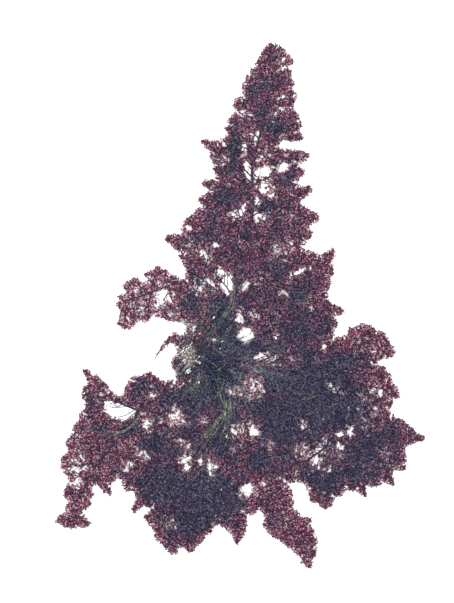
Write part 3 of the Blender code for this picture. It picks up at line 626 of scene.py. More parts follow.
def lateral_line(axis, tip, rise=LATERAL_RISE):
    """The side branch that ends at tip, and leaves the axis behind the point abreast of it."""
    gaps = np.linalg.norm(axis.line - tip, axis=1)
    last = len(axis.line) - 1
    back = rise * gaps.min() / axis.length * last
    root = min(max(int(gaps.argmin() - back), 2), last)
    start = axis.line[root]
    bow = axis.headings[root] * np.linalg.norm(tip - start) * LATERAL_BOW
    bend = (start + tip) / 2 + bow
    t = np.linspace(0, 1, LATERAL_SAMPLES)[:, None]
    return resampled(start * (1 - t) ** 2 + bend * 2 * t * (1 - t) + tip * t**2, SAMPLE_STEP)


def plan_branches():
    """The axes of every frond, with their side branches."""
    branches = []
    for frond, radii, course, tips in AXES:
        axis = Branch(frond, smooth_line(at(course)), radii, 0)
        branches.append(axis)
        for x, y, *rise in tips:
            line = lateral_line(axis, at((x, y)), *rise)
            branches.append(Branch(frond, line, LATERAL_RADII, 1))
    return branches


def plan_twigs(branches, dice):
    """Twigs left and right by turns, each grown until it nears another branch, the margin or,
    for half of them, a clearing."""
    growth = Growth(branches)
    twigs = []
    step = max(2, int(TWIG_PITCH / 2 / SAMPLE_STEP))
    reach = int(TWIG_LONGEST / SAMPLE_STEP)
    for owner, branch in enumerate(branches):
        for count, index in enumerate(range(step, len(branch.line) - 1, step)):
            side = 1 if count % 2 else -1
            angle = side * TWIG_ANGLE * dice.uniform(0.75, 1.25)
            turns = angle - side * dice.uniform(0.0, TWIG_CURL) * np.arange(reach)
            heading = np.tile(branch.headings[index], (reach, 1))
            moves = np.cumsum(turned(heading, turns) * SAMPLE_STEP, 0)
            line = np.vstack([branch.line[index], branch.line[index] + moves])
            twigs.append((owner, line, dice.choice(TWIG_CROSSINGS, p=(0.5, 0.5))))
    lines = np.vstack([line for _, line, _ in twigs])
    inside = distance_inside(lines) > TWIG_MARGIN
    clear = distance_to_clearings(lines)
    nearest = growth.owners[growth.nearest(lines)]
    grown = []
    for number, (owner, line, crossing) in enumerate(twigs):
        own = slice(number * (reach + 1), (number + 1) * (reach + 1))
        going = inside[own] & (clear[own] > -crossing) & (nearest[own] == owner)
        stop = int(np.argmin(going)) if not going.all() else len(line)
        if stop * SAMPLE_STEP > TWIG_LEAST:
            grown.append(Branch(branches[owner].frond, line[:stop], TWIG_RADII, 2))
    return grown


def distance_inside(points):
    """How far each point lies inside the margin; negative outside it."""
    outline = at(MARGIN)
    nearest = np.full(len(points), np.inf)
    inside = np.zeros(len(points), bool)
    for start, end in zip(outline, np.roll(outline, -1, axis=0)):
        along = end - start
        share = np.clip((points - start) @ along / (along @ along), 0, 1)
        gaps = np.linalg.norm(points - start - share[:, None] * along, axis=1)
        nearest = np.minimum(nearest, gaps)
        if start[1] != end[1]:
            crossed = (start[1] > points[:, 1]) != (end[1] > points[:, 1])
            reach = start[0] + (points[:, 1] - start[1]) / along[1] * along[0]
            inside ^= crossed & (points[:, 0] < reach)
    return np.where(inside, nearest, -nearest)


def patch_reach(points, patch):
    """How far each point lies from the middle of a patch, where its rim is at 1."""
    x, y, half_x, half_y, turn = patch[:5]
    offsets = turned(points - at((x, y)), np.full(len(points), -math.radians(turn)))
    return np.linalg.norm(offsets / (half_x * PIXEL, half_y * PIXEL), axis=1)


def patch_share(points, patch, kind):
    """How much each point is of a patch: 1 in its middle, fading to 0 at its end."""
    end, fade = RIMS[kind]
    return np.clip((end - patch_reach(points, patch)) / fade, 0, 1)


def distance_to_clearings(points):
    """How far each point lies outside the nearest clearing; negative within one."""
    nearest = np.full(len(points), np.inf)
    for patch in CLEARINGS:
        size = math.sqrt(patch[2] * patch[3]) * PIXEL
        nearest = np.minimum(nearest, (patch_reach(points, patch) - 1) * size)
    return nearest


def edges_at(points):
    """How far each point lies from the margin or the nearest clearing."""
    return np.minimum(distance_inside(points), distance_to_clearings(points))


def grain(points, strength, size, layer):
    """Smooth noise, up or down by its strength, whose patches are about that size."""
    return strength * np.array([noise.noise((x / size, y / size, layer)) for x, y in points])


def from_dome(points):
    """How far each point lies from the middle of the felt's dome, as a share of its radius."""
    return np.linalg.norm(points - at(DOME_PIXEL), axis=1) / DOME_RADIUS


def felt_top(points, edges, fullness):
    """The height of the felt: low along margins and clearings, and highest over the middle."""
    turn = math.tau / WAVE_LENGTH
    wave = np.sin(points[:, 0] * turn + 1.3) * np.sin(points[:, 1] * turn * 0.8)
    depth = FELT_DEPTH * (1 - np.exp(-np.maximum(edges, 0) / FELT_SLOPE))
    return (
        FELT_LEAST + depth * (0.5 + 0.5 * fullness)
        + DOME_HEIGHT * np.exp(-from_dome(points) ** 2) + WAVE_HEIGHT * np.maximum(wave, 0)
    )


def layers_at(points, edges, fullness):
    """How deep the layers lie at each point, from 0 for one by 1 for many to DARKEST_LAYERS."""
    bulk = fullness * (1 - 0.5 * np.exp(-np.maximum(edges, 0) / LAYER_SLOPE))
    bulk += sum(grain(points, *grains) for grains in LAYER_GRAINS)
    for patch in THIN_PATCHES:
        bulk -= patch_share(points, patch, "thin") * (1 - patch[5]) * THIN_EFFECT
    for patch in THICK_PATCHES:
        bulk += patch_share(points, patch, "thick") * patch[5] * (edges > THICK_INSET)
    bulk = np.clip(bulk, 0, 1)
    for patch in DARKEST_PATCHES:
        bulk += patch_share(points, patch, "darkest") * (DARKEST_LAYERS - 1)
    return np.minimum(bulk, DARKEST_LAYERS)


def speckled_at(points):
    """Which points lie where the tissue is torn to a net of short sprays."""
    speckled = np.zeros(len(points), bool)
    for patch in THIN_PATCHES:
        if patch[5] < SPECKLED_SHARE:
            speckled |= patch_reach(points, patch) < SPECKLED_RIM
    return speckled


def share_kept(points, layers):
    """The share of sprays that is left at each point."""
    kept = np.ones(len(points))
    for patch in THIN_PATCHES:
        kept = np.minimum(kept, 1 - patch_share(points, patch, "sparse") * (1 - patch[5]))
    return kept * np.clip(LAYER_COVER + LAYER_COVER * layers, 0, 1)


def tints_at(points, to_clearing, speckled):
    """The colour of the tissue at each point, from 0 for bleached grey-green by 0.5 for none
    to 1 for crimson, as it is on the rims of many clearings."""
    rims = np.clip(1 - np.maximum(to_clearing, 0) / CRIMSON_WIDTH, 0, 1)
    tints = CRIMSON_RIM * rims * (grain(points, *CRIMSON_GRAIN) > 0)
    tints = np.maximum(
        tints + np.maximum(grain(points, *BLUSH_GRAIN), 0), speckled * CRIMSON_SPECKLES
    )
    for patch in TINTED_PATCHES:
        inside = patch_share(points, patch, "tinted")
        tints = tints * (1 - inside) + inside * patch[5]
    return np.clip(0.5 + tints / 2, 0, 1)


def scatter_ends(dice):
    """Where sprays end: on a jittered grid, inside a ragged margin and off the clearings, and
    in rows along the margin itself. The rows' outward directions come with them."""
    outline = at(MARGIN)
    least, most = outline.min(axis=0), outline.max(axis=0)
    across = np.arange(least[0], most[0], SPRAY_PITCH)
    up = np.arange(least[1], most[1], SPRAY_PITCH * math.sqrt(3) / 2)
    columns, rows = np.meshgrid(across, up)
    columns += (np.arange(len(up)) % 2 * SPRAY_PITCH / 2)[:, None]
    grid = np.stack([columns.ravel(), rows.ravel()], axis=1)
    grid += dice.uniform(-JITTER, JITTER, grid.shape) * SPRAY_PITCH
    to_margin = distance_inside(grid) + grain(grid, *MARGIN_GRAIN)
    to_clearing = distance_to_clearings(grid) + grain(grid, *CLEARING_GRAIN)
    to_clearing += OVERHANG + STRAY_OVERHANG * (dice.random(len(grid)) < STRAY_SHARE)
    depths = np.minimum(to_margin, to_clearing)

    points, edges = [grid[depths > 0]], [depths[depths > 0]]
    rims = [np.zeros_like(points[0])]
    for pitch, low, high in MARGIN_ROWS:
        row = resampled(np.vstack([outline, outline[:1]]), pitch)[:-1]
        along = unit(np.roll(row, -1, axis=0) - np.roll(row, 1, axis=0))
        outward = np.stack([-along[:, 1], along[:, 0]], axis=1)
        points.append(row + outward * dice.uniform(low, high, (len(row), 1)))
        edges.append(np.full(len(row), ROW_DEPTH))
        rims.append(outward)
    return np.vstack(points), np.concatenate(edges), np.vstack(rims)


def linear(hex_colour):
    """An sRGB hex colour as a linear one."""
    values = [int(hex_colour[index : index + 2], 16) / 255 for index in (1, 3, 5)]
    return (*[v / 12.92 if v <= 0.04045 else ((v + 0.055) / 1.055) ** 2.4 for v in values], 1.0)


def add_node(tree, kind, inputs, stops=(), **settings):
    """A node with its settings and inputs; a colour ramp takes its stops too."""
    node = tree.nodes.new("ShaderNode" + kind)
    for name, value in settings.items():
        setattr(node, name, value)
    feed(tree, node, inputs)
    if stops:
        elements = node.color_ramp.elements
        while len(elements) < len(stops):
            elements.new(1.0)
        for element, (place, colour) in zip(elements, stops):
            element.position = place
            element.color = linear(colour)
    return node


def feed(tree, node, inputs):
    """Gives each named input a link or a value. A node stands for its first output in use."""
    for name, value in inputs.items():
        if isinstance(value, bpy.types.Node):
            value = next(output for output in value.outputs if output.enabled)
        if isinstance(value, bpy.types.NodeSocket):
            tree.links.new(value, node.inputs[name])
        else:
            node.inputs[name].default_value = value


def new_material(name, paint, grain_size, roughness, relief, finish):
    """A matt material. Paint adds the nodes of its colour. Its roughness varies between two
    limits, and its relief is that deep, both by grains of one size. The finish is what is the
    same all over."""
    material = bpy.data.materials.new(name)
    material.use_nodes = True
    tree = material.node_tree
    place = add_node(tree, "TexCoord", {}).outputs["Object"]
    grains = add_node(
        tree, "TexNoise", {"Vector": place, "Scale": 1 / grain_size, "Detail": 4.0}
    )
    spread = add_node(
        tree, "MapRange", {"Value": grains, "To Min": roughness[0], "To Max": roughness[1]}
    )
    bump = add_node(tree, "Bump", {"Height": grains, "Strength": 0.6, "Distance": relief})
    feed(tree, tree.nodes["Principled BSDF"], {
        "Base Color": paint(tree, place), "Roughness": spread, "Normal": bump, **finish
    })
    return material


def tissue_paint(tree, place):
    """One layer is rose, a few are maroon, and where many lie on each other they read as slate.
    Painted highlights lie over it, blue-grey where many layers lie and pale pink where few do,
    and painted shade lies on its darker spots. The attribute holds layers, nearness to the tip,
    tone and tint."""
    tissue = add_node(tree, "Attribute", {}, attribute_name="tissue")
    layers, tips, tone = add_node(tree, "SeparateColor", {"Color": tissue}).outputs
    tint = tissue.outputs["Alpha"]
    blotch = add_node(
        tree, "TexNoise", {"Vector": place, "Scale": 1 / (1.6 * MM), "Detail": 3.0}
    )
    uneven = add_node(tree, "MapRange", {
        "Value": blotch, "From Min": 0.3, "From Max": 0.7, "To Min": -0.13, "To Max": 0.13
    })
    depth = add_node(tree, "Math", {0: layers, 1: uneven}, operation="ADD")
    body = add_node(tree, "ValToRGB", {"Fac": depth}, [
        (0.0, "#a55373"), (0.18, "#8c4162"), (0.38, "#783c5a"), (0.59, "#593f5c"),
        (0.84, "#3f425e"), (1.0, "#222e49"),
    ])
    reddened = add_node(tree, "MapRange", {"Value": tint, "From Min": 0.5, "To Max": 0.62})
    crimson = add_node(
        tree, "Mix", {"Factor": reddened, 6: body, 7: linear("#83334a")}, data_type="RGBA"
    )
    faded = add_node(
        tree, "MapRange", {"Value": tint, "From Min": 0.5, "From Max": 0.0, "To Max": 0.75}
    )
    bleached = add_node(
        tree, "Mix", {"Factor": faded, 6: crimson, 7: linear("#464c54")}, data_type="RGBA"
    )
    flat = add_node(tree, "Mapping", {"Vector": place, "Scale": (1.0, 1.0, 0.25)})
    mottle = add_node(
        tree, "TexNoise", {"Vector": flat, "Scale": 1 / (0.76 * MM), "Detail": 0.5}
    )
    patchy = add_node(tree, "MapRange", {"Value": mottle, "From Min": 0.40, "From Max": 0.62})
    lightness = add_node(tree, "Mix", {"Factor": 0.72, 2: tone, 3: patchy})
    # Painted shade: where tone and mottle are dark, the tissue is mixed towards a shade colour
    # that deepens with the layers.
    shade = add_node(
        tree, "MapRange",
        {"Value": lightness, "From Min": 0.52, "From Max": 0.14, "To Max": 0.90},
    )
    shade_colour = add_node(tree, "ValToRGB", {"Fac": layers}, [
        (0.0, "#30283a"), (0.5, "#2b283a"), (0.84, "#212538"), (1.0, "#121e35")
    ])
    shaded = add_node(
        tree, "Mix", {"Factor": shade, 6: bleached, 7: shade_colour}, data_type="RGBA"
    )
    # Painted highlights: glints on the tissue's lighter spots, blue-grey where many layers lie and
    # pale pink where few do. The pale pink ones also stand for the floor seen between the ramuli.
    specks = add_node(
        tree, "TexNoise", {"Vector": flat, "Scale": 1 / (0.6 * MM), "Detail": 0.0}
    )
    lit = add_node(tree, "MapRange", {"Value": lightness, "From Min": 0.42, "From Max": 0.67})
    sparse = add_node(tree, "MapRange", {"Value": specks, "From Min": 0.48, "From Max": 0.60})
    glint = add_node(tree, "Math", {0: lit, 1: sparse}, operation="MULTIPLY")
    glint_share = add_node(
        tree, "MapRange", {"Value": layers, "From Max": 0.84, "To Min": 1.0, "To Max": 0.46}
    )
    glinting = add_node(tree, "Math", {0: glint, 1: glint_share}, operation="MULTIPLY")
    glint_colour = add_node(tree, "ValToRGB", {"Fac": layers}, [
        (0.0, "#ffdfe8"), (0.35, "#ffc4d3"), (0.62, "#ecabc3"), (0.84, "#9f94b5"),
        (1.0, "#6d7f9c"),
    ])
    glinted = add_node(
        tree, "Mix", {"Factor": glinting, 6: shaded, 7: glint_colour}, data_type="RGBA"
    )
    youth = add_node(
        tree, "MapRange", {"Value": layers, "From Max": 0.84, "To Min": 0.16, "To Max": 0.04}
    )
    young = add_node(tree, "Math", {0: tips, 1: youth}, operation="MULTIPLY")
    return add_node(
        tree, "Mix", {"Factor": young, 6: glinted, 7: linear("#9a5670")}, data_type="RGBA"
    )


def cortex_paint(tree, place):
    """Slate, bleached to grey-green near the holdfast."""
    reach = add_node(
        tree, "VectorMath", {0: place, 1: (17 * MM, 16 * MM, 0)}, operation="DISTANCE"
    )
    streaks = add_node(
        tree, "TexNoise", {"Vector": place, "Scale": 1 / (0.8 * MM), "Detail": 4.0}
    )
    mixed = add_node(
        tree, "Math", {0: streaks, 1: 12 * MM, 2: reach}, operation="MULTIPLY_ADD"
    )
    share = add_node(
        tree, "MapRange", {"Value": mixed, "From Min": 8 * MM, "From Max": 34 * MM}
    )
    return add_node(tree, "ValToRGB", {"Fac": share}, [
        (0.0, "#5b634e"), (0.35, "#40464a"), (0.7, "#2d3143"), (1.0, "#2e283a")
    ])


def blotched_paint(size, stops):
    """Paint in blotches of that size, from the first colour to the last."""
    def paint(tree, place):
        blotches = add_node(
            tree, "TexNoise", {"Vector": place, "Scale": 1 / size, "Detail": 2.0}
        )
        return add_node(tree, "ValToRGB", {"Fac": blotches}, stops)
    return paint


def make_materials():
    """Every material of the specimen, by the name of what it is."""
    materials = {
        # Red algal filaments, pressed and dried: matt, without gloss.
        "dried_algal_filaments": new_material(
            "dried_algal_filaments", tissue_paint, 0.4 * MM, (0.72, 0.95), 0.06 * MM,
            {"IOR": 1.45, "Specular IOR Level": 0.2},
        ),
        # The cortex of main stems, dried: dull, finely wrinkled.
        "dried_stem_cortex": new_material(
            "dried_stem_cortex", cortex_paint, 0.5 * MM, (0.6, 0.9), 0.08 * MM,
            {"IOR": 1.45, "Specular IOR Level": 0.3},
        ),
        # Broken shell: chalky off-white grains with a blue-grey cast, slightly polished.
        "shell_sand": new_material(
            "shell_sand",
            blotched_paint(1.2 * MM, [(0.35, "#aab8c0"), (0.55, "#dfe0da"), (0.75, "#f2ede0")]),
            0.2 * MM, (0.35, 0.6), 0.03 * MM, {"IOR": 1.53},
        ),
    }
    # Old stems and rhizoids, bleached by light and salt: dull, fibrous, blotched from strand
    # to strand.
    for name, middle, colours in (
        ("felted_rhizoids", 0.5, ("#303138", "#6a6462", "#9d948d")),
        ("bleached_rhizoids", 0.484, ("#363a3f", "#736c68", "#b0a79f")),
        ("bleached_olive_strands", 0.5, ("#3a4139", "#6c735f", "#aab096")),
        ("bleached_grey_strands", 0.5, ("#343a4b", "#525968", "#7f878f")),
        ("bleached_pale_strands", 0.5, ("#5c605c", "#8f9187", "#cfcfc3")),
    ):
        stops = list(zip((0.34, middle, 0.66), colours))
        materials[name] = new_material(
            name, blotched_paint(0.9 * MM, stops), 0.3 * MM, (0.65, 0.95), 0.05 * MM,
            {"IOR": 1.45, "Specular IOR Level": 0.25},
        )
    return materials


def deselect_all():
    bpy.ops.object.select_all(action="DESELECT")


def hand_over(piece, material, nodes):
    """Gives a finished piece its material and its place in the shared frame."""
    piece.data.materials.append(material)
    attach(piece, "root")
    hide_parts(*nodes)


def model_spray(form, dice):
    """One spray: its stem lies along +Y and ends at the origin. Slim three-sided ramuli leave
    it left and right by turns, and others fan out from its end in a rounded head."""
    length, alternate, fanned, longest = SPRAY_FORMS[form]
    deselect_all()
    bpy.ops.mesh.primitive_cone_add(
        vertices=3, radius1=SPRAY_STEM_RADIUS, radius2=0, depth=length,
        location=(0, -length / 2, 0), rotation=(-math.pi / 2, 0, 0),
    )
    spray = bpy.context.object
    spray.name = form
    bpy.ops.object.mode_set(mode="EDIT")
    head = longest * 0.85
    for index in range(alternate):
        share = (index + 0.5) / alternate
        side = 1 if index % 2 else -1
        size = longest * (0.72 + 0.28 * math.sin(math.pi * share)) * dice.uniform(0.85, 1.15)
        lean = side * math.radians(60 - 14 * share) * dice.uniform(0.85, 1.15)
        root = -length + (length - head) * (0.08 + 0.87 * share)
        add_ramulus(root, lean, size, dice)
    for index in range(fanned):
        spread = (index - (fanned - 1) / 2) / max(fanned - 1, 1)
        size = head * (1.0 - 0.25 * abs(spread)) * dice.uniform(0.9, 1.1)
        add_ramulus(-head, spread * FAN_ANGLE, size, dice)
    bpy.ops.object.mode_set(mode="OBJECT")
    bpy.ops.object.transform_apply(location=True, rotation=True, scale=True)
    return spray


def add_ramulus(root, lean, length, dice):
    """One ramulus in the spray being edited: it leaves the stem at root and leans from it."""
    lift = math.radians(dice.uniform(-RAMULUS_TILT, RAMULUS_TILT))
    way = Euler((lift, 0, -lean)).to_matrix()
    upright = way @ Euler((-math.pi / 2, 0, 0)).to_matrix()
    bpy.ops.mesh.primitive_cone_add(
        vertices=3, radius1=RAMULUS_RADIUS, radius2=0, depth=length,
        location=Vector((0, root, 0)) + way @ Vector((0, length / 2, 0)),
        rotation=upright.to_euler(),
    )


class Spray:
    """The shape of a modelled spray: its points, its triangles, which ramulus each point is
    of, and how far along the spray it lies."""

    def __init__(self, form, dice):
        piece = model_spray(form, dice)
        length = SPRAY_FORMS[form][0]
        self.points = np.empty(len(piece.data.vertices) * 3)
        piece.data.vertices.foreach_get("co", self.points)
        self.points = self.points.reshape(-1, 3)
        self.triangles = np.array([face.vertices[:] for face in piece.data.polygons])
        self.ramuli = np.arange(len(self.points)) // 4
        from_root = np.linalg.norm(self.points + (0, length, 0), axis=1)
        self.shares = np.clip(from_root / length, 0, 1)
        bpy.data.objects.remove(piece, do_unlink=True)


def plan_sprays(growth, dice):
    """Where each spray ends, which way it points, its size and how deep it lies."""
    ends, edges, rims = scatter_ends(dice)
    near = growth.nearest(ends)
    fronds = np.array([growth.branches[owner].frond for owner in growth.owners[near]])
    fullness = np.array([FRONDS[frond][0] for frond in fronds])
    away = unit(ends - growth.points[near])
    ways = unit(growth.headings[near] * ALONG_STEM + away * AWAY_FROM_STEM)
    on_rim = np.any(rims != 0, axis=1)
    ways = np.where(on_rim[:, None], unit(ways * ALONG_WITH_RIM + rims), ways)
    speckled = speckled_at(ends) | (distance_to_clearings(ends) < SPECKLED_INSET) & ~on_rim
    turns = np.where(on_rim, RIM_TURN, np.where(edges > INNER_DEPTH, INNER_TURN, OUTER_TURN))
    turns = np.where(speckled, ANY_TURN, turns)
    ways = turned(ways, np.radians(dice.uniform(-1, 1, len(ends)) * turns))
    sizes = np.clip(EDGE_SIZE + edges / SIZE_SLOPE, EDGE_SIZE, 1)
    sizes = dice.uniform(0.8, 1.2, len(ends)) * sizes
    sizes *= np.where(
        speckled, SPECKLED_SIZE, np.where(fronds == "frond_sprig", SPRIG_SIZE, 1.0)
    )
    inner = np.clip((edges - MARGIN_DEPTH) / INNER_SLOPE, 0, 1) * ~speckled
    ends = ends + ways * (inner * INNER_SHIFT * sizes)[:, None]
    bare = distance_to_clearings(ends - ways * (ROOT_REACH * sizes)[:, None]) < 0
    ends = np.where(bare[:, None], ends + ways * BARE_SHIFT, ends)
    sizes = np.where(bare, sizes * BARE_SIZE, sizes)
    layers = layers_at(ends, edges, fullness) * np.where(speckled, SPECKLED_LAYERS, 1.0)
    tops = felt_top(ends, edges, fullness)
    plan = {
        "heights": LOWEST + (tops - LOWEST) * dice.random(len(ends)) ** UPWARD,
        "ends": ends, "ways": ways, "sizes": sizes, "layers": layers, "fronds": fronds,
        "tints": tints_at(ends, distance_to_clearings(ends), speckled),
        "groups": np.where(
            edges < MARGIN_DEPTH, MARGINAL, np.where(layers > DEEP_LAYERS, MANY, FEW)
        ),
        "sides": dice.integers(0, 2, len(ends)) * 2 - 1,
        "pitches": np.radians(dice.uniform(-TILT, TILT, len(ends))),
    }
    share = np.where(speckled, SPECKLED_KEPT, share_kept(ends, layers))
    kept = dice.random(len(ends)) < share
    kept |= distance_inside(ends) < RIM_KEPT
    kept &= (fronds != "frond_sprig") | ~on_rim
    return {name: values[kept] for name, values in plan.items()}


def placed_sprays(shape, plan, own):
    """The points of one form's sprays, each sized, mirrored, tilted and turned as planned."""
    size, side = plan["sizes"][own][:, None], plan["sides"][own][:, None]
    x = shape.points[:, 0] * size * side
    y = shape.points[:, 1] * size
    z = shape.points[:, 2] * size * FLATNESS + y * np.tan(plan["pitches"][own])[:, None]
    way = plan["ways"][own][:, None, :]
    aside = np.stack([way[..., 1], -way[..., 0]], axis=-1)
    flat = plan["ends"][own][:, None, :] + y[..., None] * way + x[..., None] * aside
    height = np.maximum(plan["heights"][own][:, None] + z, FLOOR_GAP)
    return np.concatenate([flat, height[..., None]], axis=-1).reshape(-1, 3)


def felt_mesh(name, plan, chosen, shapes, dice):
    """One mesh of all the chosen sprays, with the colour attribute that its material reads."""
    points, triangles, tissues = [], [], []
    offset = 0
    draw = dice.random(len(chosen))
    for group, forms in FORM_GROUPS.items():
        for kind, form in enumerate(forms):
            low, high = kind / len(forms), (kind + 1) / len(forms)
            own = chosen[(plan["groups"][chosen] == group) & (draw >= low) & (draw < high)]
            count, shape = len(own), shapes[form]
            points.append(placed_sprays(shape, plan, own))
            faces = np.tile(shape.triangles, (count, 1, 1))
            mirrored = plan["sides"][own] < 0
            faces[mirrored] = faces[mirrored][..., ::-1]
            faces += (np.arange(count) * len(shape.points))[:, None, None] + offset
            triangles.append(faces.reshape(-1, 3))
            tones = dice.random((count, 1)) * SHARED_TONE
            tones = tones + (1 - SHARED_TONE) * dice.random((count, shape.ramuli.max() + 1))
            tones[:, 0] *= STEM_TONE
            tissue = np.empty((count, len(shape.points), 4))
            tissue[..., 0] = plan["layers"][own][:, None] / DARKEST_LAYERS
            tissue[..., 1] = shape.shares
            tissue[..., 2] = tones[:, shape.ramuli]
            tissue[..., 3] = plan["tints"][own][:, None]
            tissues.append(tissue.reshape(-1, 4))
            offset += count * len(shape.points)
    points, triangles = np.vstack(points), np.vstack(triangles)
    mesh = bpy.data.meshes.new(name)
    mesh.vertices.add(len(points))
    mesh.vertices.foreach_set("co", points.ravel())
    mesh.loops.add(triangles.size)
    mesh.loops.foreach_set("vertex_index", triangles.ravel().astype(np.int32))
    mesh.polygons.add(len(triangles))
    mesh.polygons.foreach_set("loop_start", np.arange(0, triangles.size, 3, dtype=np.int32))
    mesh.update(calc_edges=True)
    attribute = mesh.attributes.new("tissue", "FLOAT_COLOR", "POINT")
    attribute.data.foreach_set("color", np.vstack(tissues).ravel())
    return mesh


def make_felts(growth, material, dice):
    """The sprays of every frond; a large frond's are shared between several pieces."""
    shapes = {form: Spray(form, dice) for form in SPRAY_FORMS}
    plan = plan_sprays(growth, dice)
    for frond in FRONDS:
        own = np.flatnonzero(plan["fronds"] == frond)
        own = own[np.argsort(-plan["ends"][own, 1], kind="stable")]
        parts = math.ceil(len(own) / PIECE_LIMIT)
        for number, chosen in enumerate(np.array_split(own, parts)):
            name = f"{frond}_sprays" if parts == 1 else f"{frond}_sprays_{number + 1}"
            piece = bpy.data.objects.new(name, felt_mesh(name, plan, chosen, shapes, dice))
            bpy.context.scene.collection.objects.link(piece)
            hand_over(piece, material, [frond])


def tube_piece(name, strands, material, nodes):
    """Tapering round strands, made as one bevelled curve and turned into a mesh.
    A strand is its points and the radius at each."""
    curve = bpy.data.curves.new(name, "CURVE")
    curve.dimensions = "3D"
    curve.bevel_depth = 1.0
    curve.bevel_resolution = 1
    curve.use_fill_caps = True
    for points, radii in strands:
        spline = curve.splines.new("POLY")
        spline.points.add(len(points) - 1)
        for point, place, radius in zip(spline.points, points, radii):
            point.co = (*place, 1.0)
            point.radius = radius
    tube = bpy.data.objects.new(name, curve)
    bpy.context.scene.collection.objects.link(tube)
    deselect_all()
    tube.select_set(True)
    bpy.context.view_layer.objects.active = tube
    bpy.ops.object.convert(target="MESH")
    hand_over(bpy.context.object, material, nodes)


def make_stems(branches, material, dice):
    """The stems of every frond: axes lie on the felt, side branches and twigs within it."""
    lines = [resampled(branch.line, DRAWN_STEP) for branch in branches]
    points = np.vstack(lines)
    edges = edges_at(points)
    fullness = np.repeat(
        [FRONDS[branch.frond][0] for branch in branches], [len(line) for line in lines]
    )
    sunk = 1 - DOME_SINK * np.exp(-(from_dome(points) * DOME_SINK_REACH) ** 2)
    tops = split_as(felt_top(points, edges, fullness) * sunk, lines)
    lifts = split_as(STEM_HEIGHT - LAYER_SINK * layers_at(points, edges, fullness), lines)
    strands = {frond: [] for frond in FRONDS}
    for branch, line, top, lift in zip(branches, lines, tops, lifts):
        radii = np.linspace(*branch.radii, len(line))
        proud = FRONDS[branch.frond][1]
        share = ORDER_HEIGHTS[branch.order] * dice.uniform(0.9, 1.0) * proud
        if branch.order == 0:
            along = np.linspace(0, 1, len(line))
            lift = AXIS_HEIGHT * np.interp(along, [0, ROOT_SHARE], [ROOT_HEIGHT, 1])
        heights = np.maximum(top * lift * share - radii, radii * STEM_CLEARANCE + FLOOR_GAP)
        strands[branch.frond].append((np.column_stack([line, heights]), radii))
    for frond in FRONDS:
        tube_piece(f"{frond}_stems", strands[frond], material, [frond])


def holdfast_top(points):
    """The height of the holdfast's dome at each point; zero beside it."""
    share = np.linalg.norm(points / HOLDFAST_HALF[:2], axis=1)
    return HOLDFAST_HALF[2] * np.sqrt(np.maximum(1 - share**2, 0))


def top_of_all(points):
    """The height of what a bare strand lies on at each point, holdfast included."""
    return np.maximum(felt_top(points, edges_at(points), 0.75), holdfast_top(points))


def laid(strands):
    """Flat strands, each with its radii and its lift, laid on what lies under them."""
    lines = [line for line, _, _ in strands]
    tops = split_as(top_of_all(np.vstack(lines)), lines)
    return [
        (np.column_stack([line, top + lift + radii]), radii)
        for (line, radii, lift), top in zip(strands, tops)
    ]


def make_holdfast(material):
    """A lumpy dome of felted rhizoids, flat where it rests."""
    deselect_all()
    bpy.ops.mesh.primitive_uv_sphere_add(segments=36, ring_count=24, radius=1.0)
    dome = bpy.context.object
    dome.name = "holdfast_felt"
    dome.scale = HOLDFAST_HALF
    bpy.ops.object.transform_apply(location=True, rotation=True, scale=True)
    bpy.ops.object.mode_set(mode="EDIT")
    bpy.ops.mesh.select_all(action="SELECT")
    bpy.ops.transform.vertex_random(offset=LUMPS, uniform=0.1, normal=1.0, seed=SEED)
    bpy.ops.mesh.vertices_smooth(factor=0.5, repeat=1)
    bpy.ops.mesh.subdivide(number_cuts=1, smoothness=1.0)
    bpy.ops.transform.vertex_random(offset=FUZZ, uniform=0.2, normal=0.8, seed=SEED + 1)
    bpy.ops.mesh.select_all(action="SELECT")
    bpy.ops.mesh.bisect(
        plane_co=(0, 0, FLOOR_GAP), plane_no=(0, 0, 1), clear_inner=True, use_fill=True,
        threshold=FLOOR_GAP / 50,
    )
    bpy.ops.object.mode_set(mode="OBJECT")
    hand_over(dome, material, ["holdfast"])


def make_rhizoids(material, dice):
    """Rhizoids that run down over the holdfast and out from it, each along its own bent course."""
    strands = []
    for angle in np.linspace(0, math.tau, RHIZOIDS, endpoint=False):
        bends = angle + dice.uniform(-0.2, 0.2)
        bends = bends + np.cumsum(dice.uniform(-0.16, 0.16, RHIZOID_STEPS))
        steps = np.stack([np.cos(bends), np.sin(bends)], axis=1) * dice.uniform(0.4, 0.85) * MM
        line = dice.uniform(-1, 1, 2) * RHIZOID_FIELD + np.cumsum(steps, axis=0)
        line = line[distance_inside(line) > 0]
        if len(line) < 4:
            continue
        heights = np.maximum(holdfast_top(line), FELT_LEAST) + dice.uniform(0.0, 0.3) * MM
        radii = np.linspace(*RHIZOID_RADII, len(line)) * MM
        strands.append((np.column_stack([line, heights + radii]), radii))
    tube_piece("holdfast_rhizoids", strands, material, ["holdfast"])


def bundle_strand(course, spread, thickness, dice):
    """One strand of a bundle: it wanders a little beside the bundle's course."""
    line = resampled(smooth_line(at(course)), 1.2 * MM)
    along = unit(np.gradient(line, axis=0))
    share = np.linspace(0, 1, len(line))
    drift = dice.uniform(-0.5, 0.5) * np.array([0.35, 0.6, 0.85, 1.1])
    drift += dice.uniform(-0.12, 0.12, 4)
    aside = np.interp(share, [0, 0.35, 0.7, 1], drift) * spread * PIXEL
    aside += 0.12 * MM * np.sin(share * dice.uniform(5, 14) + dice.uniform(0, math.tau))
    line = line + np.stack([-along[:, 1], along[:, 0]], axis=1) * aside[:, None]
    first = dice.integers(0, max(len(line) // 3, 1))
    line = line[first : len(line) - dice.integers(0, max(len(line) // 2, 1))]
    radii = thickness * PIXEL * np.linspace(1.0, 0.6, len(line)) * dice.uniform(0.7, 1.2)
    return line, radii, dice.uniform(-0.15, 0.35) * MM


